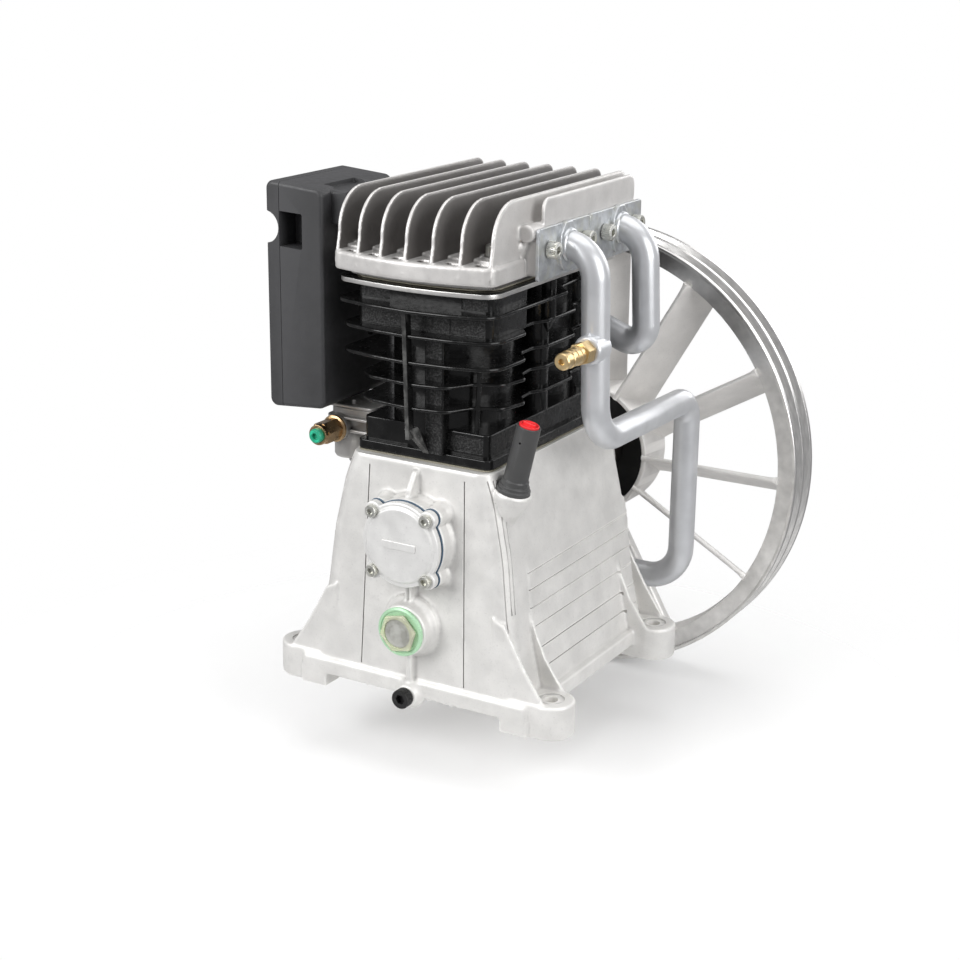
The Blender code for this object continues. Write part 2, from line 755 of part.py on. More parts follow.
def reed_valves():
    """Thin spring tongues above the valve plate's delivery ports."""
    spring = finish("spring_steel", (0.35, 0.37, 0.4), 0.3, 1.0)
    low = PLATE_LOW + PLATE_T + 0.3
    outline = rounded(5, 28, FRONT_BORE_Y - 11, FRONT_BORE_Y + 24, 8)
    add("front_reed_valve", prism(outline, low, low + 0.5), spring)
    outline = rounded(4, 16, REAR_BORE_Y - 7, REAR_BORE_Y + 20, 5)
    add("rear_reed_valve", prism(outline, low, low + 0.5), spring)


def head_gasket():
    outline = bulged(62, -99, 8, 92, 14)
    low = PLATE_LOW + PLATE_T + 0.3
    body = add("head_gasket", prism(outline, low, low + 1.0), gasket_paper())
    holes = [rod(4.4, 330.0, 345.0, centre, "Z", SMALL) for centre in head_bolt_places()]
    holes.append(rod(40.0, 330.0, 345.0, (0, FRONT_BORE_Y)))
    holes.append(rod(30.0, 330.0, 345.0, (0, REAR_BORE_Y)))
    cut(body, holes)


def head_fin(x, thick):
    """One upright cooling fin with a large round front shoulder."""
    front = -111.0 - 12.0 * (1 - (x / HEAD_X) ** 2)
    outline = [(front, HEAD_FLOOR - 3.0)]
    outline += arc((front + 36.0, HEAD_TOP - 30.0), 30.0, 180, 90, 6)
    outline += arc((98.0, HEAD_TOP - 9.0), 9.0, 90, 0, 3)
    outline += [(109.0, HEAD_FLOOR - 3.0)]
    return prism(outline, x - thick / 2, x + thick / 2, "X")


def cylinder_head():
    base = prism(bulged(HEAD_X, -110, 12, 109, 10), HEAD_SHELF, HEAD_FLOOR)
    body = add("cylinder_head", base, cast_aluminium())
    pieces = [prism(bulged(64, -101, 9, 102, 12), HEAD_LOW, HEAD_SHELF + 1)]
    for i in range(-3, 4):
        pieces.append(head_fin(i * FIN_PITCH, 3.4))
    pieces.append(prism(rectangle(-63, 40, -70, 60), HEAD_FLOOR - 1, 376.0))
    pieces.append(prism(rectangle(-67.2, FLANGE_X - 0.3, -60, 101), HEAD_SHELF + 1.0, 381.0))
    pieces.append(prism(rounded(-52, 99, 381, 402, 6), 77.0, 79.6, "X"))
    pieces.append(prism(rectangle(-81.7, -60.0, -80, -30), 350.0, 378.0))
    for x, y in head_bolt_places():
        pieces.append(rod(9.0, HEAD_SHELF, 362.0, (x, y), "Z", SMALL))
    join(body, pieces)
    cut(body, head_ports())


def head_ports():
    """Chambers, inlet and outlet ports, bolt holes and fin slots for the bolts."""
    tools = []
    for x, y in head_bolt_places():
        tools.append(rod(4.4, 330.0, 370.0, (x, y), "Z", SMALL))
        tools.append(rod(8.2, 362.0, 420.0, (x, y), "Z", SMALL))
    tools.append(rod(37.0, 330.0, 356.0, (0, FRONT_BORE_Y)))
    tools.append(rod(27.0, 330.0, 356.0, (0, REAR_BORE_Y)))
    for y in TUBE_YS:
        tools.append(rod(8.5, 20.0, 100.0, (y, PORT_Z), "X", SMALL))
        tools.append(rod(7.0, 330.0, PORT_Z, (24.0, y), "Z", SMALL))
    tools.append(rod(9.0, -100.0, -20.0, (-55.0, PORT_Z), "X", SMALL))
    tools.append(rod(8.0, 330.0, PORT_Z, (-24.0, -50.0), "Z", SMALL))
    for y in FLANGE_BOLT_YS:
        tools.append(rod(4.4, 62.0, 100.0, (y, PORT_Z), "X", SMALL))
    return tools


def head_bolts():
    for number, (x, y) in enumerate(head_bolt_places(), 1):
        steps = [(3.9, 316.0), (3.9, 362.4), (7.4, 362.4), (7.4, 369.4)]
        add(f"head_bolt_{number}", stepped(steps, (x, y), "Z", SMALL), steel())


# ---------------------------------------------------------- intercooler

def flange_plate(name, outline, tube_y, bolt_ys):
    """A zinc plate with a raised collar that clamps a tube end to the head."""
    near = FLANGE_X
    far = FLANGE_X + FLANGE_T
    body = add(name, prism(outline, near, far, "X"), zinc())
    join(body, [rod(15.0, near + 1, far + 3.0, (tube_y, PORT_Z), "X")])
    holes = [rod(TUBE_R + GAP, near - 5, far + 10, (tube_y, PORT_Z), "X")]
    holes += [rod(4.4, near - 5, far + 5, (y, PORT_Z), "X", SMALL) for y in bolt_ys]
    cut(body, holes)


def flange_plates():
    """Two plates edge to edge; the rear one narrows downwards."""
    seam = 14.8
    front = rounded(-67.0, seam - GAP, FLANGE_LOW, FLANGE_TOP, 4)
    flange_plate("flange_plate_front", front, TUBE_YS[0], FLANGE_BOLT_YS[:2])
    low, high = seam + GAP, 105.0
    rear = [(low, 352.0), (low + 12.0, FLANGE_LOW), (high - 12.0, FLANGE_LOW), (high, 352.0),
            (high, FLANGE_TOP), (low, FLANGE_TOP)]
    flange_plate("flange_plate_rear", rear, TUBE_YS[1], FLANGE_BOLT_YS[2:])


def flange_bolts():
    far = FLANGE_X + FLANGE_T + 0.3
    for number, y in enumerate(FLANGE_BOLT_YS, 1):
        steps = [(3.9, 65.0), (3.9, far), (6.5, far), (6.5, far + 8.0)]
        body = add(f"flange_bolt_{number}", stepped(steps, (y, PORT_Z), "X", SMALL), steel())
        cut(body, [prism(circle(3.5, 6, (y, PORT_Z)), far + 4, far + 12, "X")])


def bent_path(corners, bend, count=3):
    """Straight runs joined by round bends of one radius."""
    points = [corners[0]]
    for before, corner, after in zip(corners, corners[1:], corners[2:]):
        inward = (before - corner).normalized()
        outward = (after - corner).normalized()
        half = inward.angle(outward) / 2
        reach = bend / math.tan(half)
        centre = corner + (inward + outward).normalized() * bend / math.sin(half)
        start = (corner + inward * reach - centre).normalized()
        end = (corner + outward * reach - centre).normalized()
        for i in range(count + 1):
            points.append(centre + start.slerp(end, i / count) * bend)
    points.append(corners[-1])
    return points


def swept_tube(path, outer, inner, count):
    """A hollow tube along a path, open at both ends."""
    normal = (path[1] - path[0]).orthogonal().normalized()
    tangent = (path[1] - path[0]).normalized()
    outside = []
    inside = []
    for i, point in enumerate(path):
        ahead = path[min(i + 1, len(path) - 1)] - path[max(i - 1, 0)]
        turn = tangent.rotation_difference(ahead.normalized())
        normal = turn @ normal
        tangent = ahead.normalized()
        side = tangent.cross(normal)
        for radius, rings in ((outer, outside), (inner, inside)):
            rings.append([point + normal * u + side * v for u, v in circle(radius, count)])
    bm = bmesh.new()
    loops = [[bm.verts.new(p) for p in ring] for ring in outside + inside[::-1]]
    for first, second in zip(loops, loops[1:] + loops[:1]):
        for i in range(count):
            j = (i + 1) % count
            bm.faces.new((first[i], first[j], second[j], second[i]))
    return bm


def tube_corners():
    """The intercooler's run: down the side, behind the crankcase and up again."""
    front_port_y, rear_port_y = TUBE_YS
    start = FLANGE_X + 0.2
    return [Vector(point) for point in (
        (start, front_port_y, PORT_Z), (TUBE_X, front_port_y, PORT_Z),
        (TUBE_X, front_port_y, 213.0), (TUBE_X, 146.0, 208.0), (TUBE_X, 146.0, 47.0),
        (-104.0, 150.0, 45.0),
        (-104.0, 146.0, 271.0), (30.0, 132.0, 271.0), (72.0, rear_port_y + 3.0, 272.0),
        (TUBE_X, rear_port_y, 272.0), (TUBE_X, rear_port_y, PORT_Z), (start, rear_port_y, PORT_Z),
    )]


def intercooler_tube():
    paint = finish("silver_paint", (0.7, 0.72, 0.74), 0.35, 0.5)
    path = bent_path(tube_corners(), TUBE_BEND)
    inner = TUBE_R - TUBE_WALL
    body = add("intercooler_tube", swept_tube(path, TUBE_R, inner, SMALL), paint)
    front_port_y = TUBE_YS[0]
    join(body, [rod(10.0, VALVE_FACE, front_port_y, (TUBE_X, VALVE_Z), "Y", SMALL)])
    cut(body, [
        rod(4.6, VALVE_FACE - 5, front_port_y, (TUBE_X, VALVE_Z), "Y", SMALL),
        rod(inner, VALVE_Z - 14, VALVE_Z + 14, (TUBE_X, front_port_y), "Z", SMALL),
    ])


def safety_valve():
    """Brass relief valve screwed into the tube's boss, with a pull stem."""
    centre = (TUBE_X, VALVE_Z)
    face = VALVE_FACE - GAP
    steps = [(4.2, face + 13.0), (4.2, face), (9.0, face), (9.0, face - 12.0),
             (6.4, face - 15.0), (6.4, face - 30.0)]
    body = add("safety_valve_body", stepped(steps, centre, "Y", SMALL), brass())
    cut(body, [rod(2.6, face - 40.0, face + 20.0, centre, "Y", SMALL)])
    tip = face - 30.0 - GAP
    stem = [(2.2, face + 3.0), (2.2, tip), (4.6, tip), (4.6, tip - 8.5)]
    pivot = (TUBE_X, tip, VALVE_Z)
    add("safety_valve_stem", stepped(stem, centre, "Y", SMALL), brass(), pivot)


# ------------------------------------------------------- filter and outlet

def filter_outline(low_x, high_x):
    """Front view of the filter box: its height shrinks towards the head."""
    slope = 0.08
    drop = (high_x - low_x) * slope
    return [(low_x, 226.0), (high_x, 226.0 + drop), (high_x, 405.0 - drop), (low_x, 405.0)]


def air_filter():
    low_y, high_y = -104.0, -5.0
    shell = prism(filter_outline(-123.0, -82.3), low_y, high_y, "Y")
    housing = add("filter_housing", shell, black_plastic())
    cut(housing, [
        prism(rectangle(-130.0, -86.0, 232.0, 398.0), low_y + 4, high_y - 4, "Y"),
        rod(9.0, -100.0, -70.0, (-55.0, PORT_Z), "X", SMALL),
    ])
    shell = prism(filter_outline(-136.0, -123.3), low_y, high_y, "Y")
    cover = add("filter_cover", shell, black_plastic(), (-130.0, -54.0, 315.0))
    cut(cover, [prism(rectangle(-140.0, -125.5, 352.0, 376.0), low_y - 5, high_y + 5, "Y")])
    felt = finish("filter_felt", (0.6, 0.55, 0.4), 0.9, 0.0)
    pad = prism(rectangle(-116.0, -92.0, 238.0, 350.0), low_y + 9, high_y - 9, "Y")
    add("filter_element", pad, felt)


def outlet():
    """Delivery port: a finned block beside the cylinders with a brass fitting."""
    x, z = OUTLET_X, OUTLET_Z
    block = prism(rectangle(-98.0, -60.6, 202.5, 223.0), -61.0, -22.0, "Y")
    body = add("outlet_manifold", block, cast_aluminium())
    pieces = [
        prism(rounded(-100.0, -60.6, -63.0, -20.0, 4), low, low + 2.4)
        for low in (203.5, 213.0, 222.4)
    ]
    pieces.append(rod(12.0, -66.0, -40.0, (x, z), "Y", SMALL))
    pieces.append(rod(11.0, 172.0, 205.0, (-88.5, -42.0), "Z", SMALL))
    join(body, pieces)
    cut(body, [rod(5.3, -70.0, -42.0, (x, z), "Y", SMALL)])
    steps = [(5.0, -46.0), (5.0, -66.3), (10.5, -66.3), (10.5, -75.0), (8.2, -75.0), (8.2, -97.0)]
    fitting = add("outlet_fitting", stepped(steps, (x, z), "Y", SMALL), brass())
    cut(fitting, [rod(4.2, -110.0, -40.0, (x, z), "Y", SMALL)])
    green = finish("green_plastic", (0.05, 0.4, 0.22), 0.45, 0.0)
    plug = [(3.9, -86.0), (3.9, -97.3), (6.4, -97.3), (6.4, -101.0)]
    add("outlet_plug", stepped(plug, (x, z), "Y", SMALL), green)


def build():
    clear_scene()
    crankcase()
    front_cover()
    cover_gasket()
    cover_screws()
    sight_glass()
    drain_plug()
    oil_filler()
    bearing_housing()
    housing_screws()
    bearings()
    crankshaft()
    connecting_rod("front_connecting_rod", FRONT_BORE_Y)
    connecting_rod("rear_connecting_rod", REAR_BORE_Y)
    wrist_pin("front_wrist_pin", FRONT_BORE_Y)
    wrist_pin("rear_wrist_pin", REAR_BORE_Y)
    piston("front_piston", FRONT_BORE_Y, False)
    piston("rear_piston", REAR_BORE_Y, True)
    flywheel()
    flywheel_fasteners()
    base_gasket()
    cylinder_block()
    valve_plate()
    reed_valves()
    head_gasket()
    cylinder_head()
    head_bolts()
    flange_plates()
    flange_bolts()
    intercooler_tube()
    safety_valve()
    air_filter()
    outlet()


build()
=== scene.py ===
import json
import math
import random

import bmesh
import bpy
from mathutils import Matrix, Vector


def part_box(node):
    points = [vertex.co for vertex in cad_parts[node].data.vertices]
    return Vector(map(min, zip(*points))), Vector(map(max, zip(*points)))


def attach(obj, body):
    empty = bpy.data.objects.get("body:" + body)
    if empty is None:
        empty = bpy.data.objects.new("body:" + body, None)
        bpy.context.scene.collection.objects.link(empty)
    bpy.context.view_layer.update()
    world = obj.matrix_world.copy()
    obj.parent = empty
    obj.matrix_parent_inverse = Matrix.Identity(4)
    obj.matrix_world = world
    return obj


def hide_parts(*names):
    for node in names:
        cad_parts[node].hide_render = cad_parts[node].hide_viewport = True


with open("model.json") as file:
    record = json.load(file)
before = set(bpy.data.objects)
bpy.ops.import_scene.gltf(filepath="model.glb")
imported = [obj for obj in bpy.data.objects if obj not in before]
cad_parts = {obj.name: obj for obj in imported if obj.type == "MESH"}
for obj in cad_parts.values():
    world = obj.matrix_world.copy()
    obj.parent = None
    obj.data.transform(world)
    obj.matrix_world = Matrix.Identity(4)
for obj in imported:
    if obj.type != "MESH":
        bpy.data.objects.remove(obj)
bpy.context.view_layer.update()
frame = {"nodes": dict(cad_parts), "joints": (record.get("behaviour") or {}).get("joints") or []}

MM = 0.001


def span(node):
    """The lowest and highest corners of a CAD node, in millimetres."""
    low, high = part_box(node)
    return low / MM, high / MM


def pivot(joint):
    """Where a joint sits, in millimetres."""
    return Vector(next(j for j in frame["joints"] if j["name"] == joint)["pos_m"]) / MM


# ------------------------------------------------ sizes read from the frame
AXIS_Z = pivot("crank_spin").z
CASE_LOW, CASE_HIGH = span("crankcase")
WHEEL_LOW, WHEEL_HIGH = span("flywheel")
WHEEL_R = (WHEEL_HIGH.x - WHEEL_LOW.x) / 2
WHEEL_Y, WHEEL_BACK = WHEEL_LOW.y, WHEEL_HIGH.y
BLOCK_LOW = span("cylinder_block")[0]
PLATE_LOW, PLATE_HIGH = span("valve_plate")
HEAD_LOW, HEAD_HIGH = span("cylinder_head")
COVER_LOW, COVER_HIGH = span("front_cover")
FRONT_PLATE_LOW, FRONT_PLATE_HIGH = span("flange_plate_front")
REAR_PLATE_LOW, REAR_PLATE_HIGH = span("flange_plate_rear")
TUBE_LOW, TUBE_HIGH = span("intercooler_tube")
FILTER_LOW, FILTER_HIGH = span("filter_housing")
FILTER_COVER_LOW, FILTER_COVER_HIGH = span("filter_cover")
OUTLET_LOW, OUTLET_HIGH = span("outlet_manifold")
FITTING_LOW, FITTING_HIGH = span("outlet_fitting")
RING_LOW, RING_HIGH = span("sight_glass_ring")
DRAIN_LOW, DRAIN_HIGH = span("drain_plug")

# ----------------------------------------------- sizes taken from the photo
DECK_Z = CASE_HIGH.z
FOOT_X = 115.0
FOOT_R = CASE_HIGH.x - FOOT_X
FOOT_Y = 91.4
FOOT_H = 28.0
LEDGE_Z = 24.5
BAND_LOW = 11.0
LEDGE_X = 105.3
LEDGE_Y = 112.4
BOSS_Y = COVER_HIGH.y + 1.6
SCREW = 24.1
SIGHT_Z = (RING_LOW.z + RING_HIGH.z) / 2
DRAIN_Z = (DRAIN_LOW.z + DRAIN_HIGH.z) / 2
FILLER = Vector((75.0, -86.0, 186.0))
FILLER_LEAN = 13.7
TUBE_R = 11.0
TUBE_X = (span("safety_valve_body")[0].x + span("safety_valve_body")[1].x) / 2
TUBE_YS = (-24.0, 64.0)
PORT_Z = 365.0
VALVE_Z = 290.0
FIN_PITCH = 22.0
CORNER_R = 13.0
PAD_R = 18.0
SIDE_FLARE = [(12.0, 100.0), (27.0, 97.5), (61.0, 89.5), (92.0, 85.0), (135.0, 80.0), (179.0, 70.5),
              (DECK_Z, 62.5)]
FRONT_CYLINDER = (0, -46.0)
REAR_CYLINDER = (0, 46.0)
BORE_R = 42.0
PLUNGER_BORE_R = 25.0
PLUNGER_BORE_Z = 305.5
BLADES = 12
CASE_VOXEL, COVER_VOXEL, HEAD_VOXEL = 1.25, 0.6, 1.1
SHARP = 35
WEIGHED_FACES = 40000

# ------------------------------------- stage and camera, in metres where said
BACKDROP = 2600.0
FLOOR_GAP = 0.5
VIEW_DEGREES = (30.10, 17.72, 0.68)         # azimuth, elevation, roll
CAMERA_PLACE = (0.71776, -1.24401, 0.61804)  # metres
LENS_MM, SENSOR_MM, FAR_CLIP = 69.49, 36.0, 20.0
SOFT_BOXES = [                               # name, place, target and size in metres, power in watts
    ("key_box", (-1.1, -2.0, 1.3), (0, 0, 0.2), (1.5, 1.5), 52),
    ("side_box", (2.0, -0.5, 0.9), (0, 0, 0.15), (1.4, 1.6), 31),
    ("top_box", (0.1, 0.2, 2.0), (0, 0, 0.2), (1.8, 1.8), 16),
    ("rim_box", (0.6, 2.0, 0.9), (0, 0, 0.2), (1.6, 1.2), 14),
]
ROOM_STRENGTH = 0.45


# ------------------------------------------------------------ shape helpers

def circle(radius, count=48, centre=(0, 0), start=0.0):
    step = math.tau / count
    return [(centre[0] + radius * math.cos(start + step * i),
             centre[1] + radius * math.sin(start + step * i)) for i in range(count)]


def arc(centre, radius, start, end, count=8):
    """Points along an arc, angles in degrees."""
    points = []
    for i in range(count + 1):
        angle = math.radians(start + (end - start) * i / count)
        points.append((centre[0] + radius * math.cos(angle), centre[1] + radius * math.sin(angle)))
    return points


def rounded(low_u, high_u, low_v, high_v, radius, count=6):
    """A rectangle's outline with round corners."""
    return (arc((high_u - radius, low_v + radius), radius, -90, 0, count)
            + arc((high_u - radius, high_v - radius), radius, 0, 90, count)
            + arc((low_u + radius, high_v - radius), radius, 90, 180, count)
            + arc((low_u + radius, low_v + radius), radius, 180, 270, count))


def rectangle(low_u, high_u, low_v, high_v):
    return [(low_u, low_v), (high_u, low_v), (high_u, high_v), (low_u, high_v)]


def fillet(points, radii, count=6):
    """A run of 3-D points with its inner corners rounded; radii is one number or one per corner."""
    points = [Vector(p) for p in points]
    if not isinstance(radii, (list, tuple)):
        radii = [radii] * (len(points) - 2)
    run = [points[0]]
    last = len(points) - 3
    for i, (before, corner, after, radius) in enumerate(zip(points, points[1:], points[2:], radii)):
        inward = before - corner
        outward = after - corner
        half = inward.angle(outward) / 2
        if radius <= 0 or half > math.radians(88):
            run.append(corner)
            continue
        spare = [inward.length * (0.96 if i == 0 else 0.49), outward.length * (0.96 if i == last else 0.49)]
        reach = min(radius / math.tan(half), *spare)
        radius = reach * math.tan(half)
        inward.normalize()
        outward.normalize()
        centre = corner + (inward + outward).normalized() * radius / math.sin(half)
        start = corner + inward * reach - centre
        end = corner + outward * reach - centre
        for step in range(count + 1):
            run.append(centre + start.normalized().slerp(end.normalized(), step / count) * radius)
    run.append(points[-1])
    return run


def eased(profile, radius, count=3):
    """A flat profile with rounded corners."""
    run = fillet([Vector((a, b, 0.0)) for a, b in profile], radius, count)
    return [(p.x, p.y) for p in run]


def smooth_loop(corners, radius, count=5):
    """A closed outline with every corner rounded."""
    closed = [corners[-1]] + list(corners) + [corners[0]]
    return eased(closed, radius, count)[1:-1]


def inset(outline, distance):
    """The outline moved inwards along its corners' bisectors."""
    if distance == 0:
        return list(outline)
    area = sum(a[0] * b[1] - b[0] * a[1] for a, b in zip(outline, outline[1:] + outline[:1]))
    sign = 1.0 if area > 0 else -1.0
    moved = []
    count = len(outline)
    for i in range(count):
        before, here, after = (Vector(outline[j % count]) for j in (i - 1, i, i + 1))
        first = (here - before).normalized()
        second = (after - here).normalized()
        bisector = Vector((-first.y - second.y, first.x + second.x)) * sign
        bisector.normalize()
        cosine = max(0.4, bisector.dot(Vector((-first.y, first.x)) * sign))
        moved.append(tuple(here + bisector * distance / cosine))
    return moved


def placed(axis, u, v, along):
    if axis == "X":
        return Vector((along, u, v))
    if axis == "Y":
        return Vector((u, along, v))
    return Vector((u, v, along))


def loft(loops, ring=False):
    """A closed solid through loops of equally many points: capped at its ends, or closed into a ring."""
    bm = bmesh.new()
    rows = [[bm.verts.new(point) for point in loop] for loop in loops]
    count = len(rows[0])
    if not ring:
        bm.faces.new(rows[0])
        bm.faces.new(rows[-1])
    for lower, upper in zip(rows, rows[1:] + (rows[:1] if ring else [])):
        for i in range(count):
            j = (i + 1) % count
            bm.faces.new((lower[i], lower[j], upper[j], upper[i]))
    bmesh.ops.recalc_face_normals(bm, faces=bm.faces)
    return bm


def prism(outline, low, high, axis="Z"):
    return loft([[placed(axis, u, v, along) for u, v in outline] for along in (low, high)])


def plate(outline, low, high, axis="Z", edge=0.8, steps=3):
    """An outline extruded along an axis, with rounded rims."""
    levels = [(0.0, edge + 0.35)]
    for i in range(steps + 1):
        angle = math.pi / 2 * i / steps
        levels.append((edge * (1 - math.cos(angle)), edge * (1 - math.sin(angle))))
    loops = [[placed(axis, u, v, low + up) for u, v in inset(outline, tuck)] for up, tuck in levels]
    loops += [[placed(axis, u, v, high - up) for u, v in inset(outline, tuck)]
              for up, tuck in reversed(levels)]
    return loft(loops)


def stepped(steps, centre=(0, 0), axis="Z", count=48, ease=0.0):
    """A round bar whose radius changes: steps of (radius, along), corners eased."""
    if ease:
        ends = [(0.0, steps[0][1])] + list(steps) + [(0.0, steps[-1][1])]
        steps = eased(ends, ease)[1:-1]
        steps = [(steps[0][0] * 0.94, steps[0][1])] + steps + [(steps[-1][0] * 0.94, steps[-1][1])]
    return loft([[placed(axis, u, v, along) for u, v in circle(radius, count, centre)]
                 for radius, along in steps])


def peg(radius, low, high, centre=(0, 0), axis="Z", count=48, ease=0.0):
    return stepped([(radius, low), (radius, high)], centre, axis, count, ease)


def turned(profile, centre=(0, 0, 0), axis="Z", count=64, ease=0.0):
    """A ring: a closed profile of (radius, along) turned about an axis."""
    if ease:
        profile = smooth_loop(profile, ease, 3)
    return loft([[Vector(centre) + placed(axis, u, v, along) for u, v in circle(radius, count)]
                 for radius, along in profile], ring=True)


def swept(path, radius, count=32, inner=0.0):
    """A round bar, or with an inner radius an open tube, along a path."""
    tangent = (path[1] - path[0]).normalized()
    normal = tangent.orthogonal().normalized()
    outside = []
    inside = []
    for i, point in enumerate(path):
        ahead = (path[min(i + 1, len(path) - 1)] - path[max(i - 1, 0)]).normalized()
        normal = tangent.rotation_difference(ahead) @ normal
        tangent = ahead
        side = tangent.cross(normal)
        outside.append([point + normal * u + side * v for u, v in circle(radius, count)])
        if inner:
            inside.append([point + normal * u + side * v for u, v in circle(inner, count)])
    return loft(outside + inside[::-1], ring=bool(inner))


def tilt(bm, degrees, centre):
    """Turn a mesh about the Y direction."""
    turn = Matrix.Rotation(math.radians(degrees), 3, "Y")
    bmesh.ops.rotate(bm, verts=bm.verts, cent=Vector(centre), matrix=turn)
    return bm


def aimed(bm, place, direction):
    """Move a mesh built along +Z so that +Z points in a direction from a place."""
    turn = Vector((0, 0, 1)).rotation_difference(Vector(direction)).to_matrix().to_4x4()
    bm.transform(Matrix.Translation(Vector(place)) @ turn)
    return bm


def joined(parts):
    """Several meshes as one, not yet merged."""
    whole = bmesh.new()
    for bm in parts:
        mesh = bpy.data.meshes.new("part")
        bm.to_mesh(mesh)
        bm.free()
        whole.from_mesh(mesh)
        bpy.data.meshes.remove(mesh)
    return whole


def shade(mesh, sharp):
    """Smooth shading, with creases where faces meet at more than so many degrees."""
    mesh.shade_smooth()
    mesh.set_sharp_from_angle(angle=math.radians(sharp))


def make(name, bm, sharp=SHARP):
    """An object from a millimetre mesh."""
    bmesh.ops.scale(bm, verts=bm.verts, vec=(MM, MM, MM))
    mesh = bpy.data.meshes.new(name)
    bm.to_mesh(mesh)
    bm.free()
    shade(mesh, sharp)
    obj = bpy.data.objects.new(name, mesh)
    bpy.context.scene.collection.objects.link(obj)
    return obj


def settle(obj, sharp=None):
    """Apply an object's modifiers."""
    bpy.context.view_layer.update()
    graph = bpy.context.evaluated_depsgraph_get()
    mesh = bpy.data.meshes.new_from_object(obj.evaluated_get(graph))
    obj.modifiers.clear()
    obj.data = mesh
    if sharp is not None:
        shade(mesh, sharp)
    return obj


def combine(obj, tools, operation, solver="MANIFOLD", sharp=SHARP):
    """Join or cut an object with meshes, one after another."""
    helpers = [make("tool", bm) for bm in tools]
    for helper in helpers:
        step = obj.modifiers.new("step", "BOOLEAN")
        step.operation = operation
        step.solver = solver
        step.object = helper
    settle(obj, sharp)
    for helper in helpers:
        bpy.data.objects.remove(helper, do_unlink=True)
    return obj


def cut(obj, tools, sharp=SHARP):
    return combine(obj, tools, "DIFFERENCE", sharp=sharp)


def join(obj, tools, sharp=SHARP):
    return combine(obj, tools, "UNION", sharp=sharp)


def cast(name, parts, voxel, smooth=4, sharp=50):
    """A casting: overlapping solids skinned into one body with soft corners and fillets."""
    obj = make(name, joined(parts))
    skin = obj.modifiers.new("skin", "REMESH")
    skin.mode = "VOXEL"
    skin.voxel_size = voxel * MM
    skin.use_smooth_shade = True
    ease = obj.modifiers.new("ease", "SMOOTH")
    ease.factor = 0.5
    ease.iterations = smooth
    return settle(obj, sharp)


def trimmed(bm, tools):
    """A mesh cut by others, for use as part of a casting."""
    obj = combine(make("blank", bm), tools, "DIFFERENCE", solver="EXACT")
    result = bmesh.new()
    result.from_mesh(obj.data)
    bmesh.ops.scale(result, verts=result.verts, vec=(1 / MM, 1 / MM, 1 / MM))
    bpy.data.objects.remove(obj, do_unlink=True)
    return result


def weigh(obj):
    """Let big faces rule the shading, so flat faces look flat beside rounded edges."""
    step = obj.modifiers.new("weigh", "WEIGHTED_NORMAL")
    step.keep_sharp = True
    settle(obj)


def fit(obj, material, body, *nodes, slot=None):
    """Finish a piece: its material, the body it rides on and the CAD nodes it stands for; the slot argument is
    not used.
    """
    if len(obj.data.polygons) < WEIGHED_FACES:
        weigh(obj)
    obj.data.materials.clear()
    obj.data.materials.append(material)
    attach(obj, body)
    if nodes:
        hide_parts(*nodes)


def patch(obj, material, inside):
    """Give a further material to the faces whose middle and normal pass a test."""
    obj.data.materials.append(material)
    for face in obj.data.polygons:
        if inside(face.center / MM, face.normal):
            face.material_index = len(obj.data.materials) - 1


# ---------------------------------------------------------------- materials

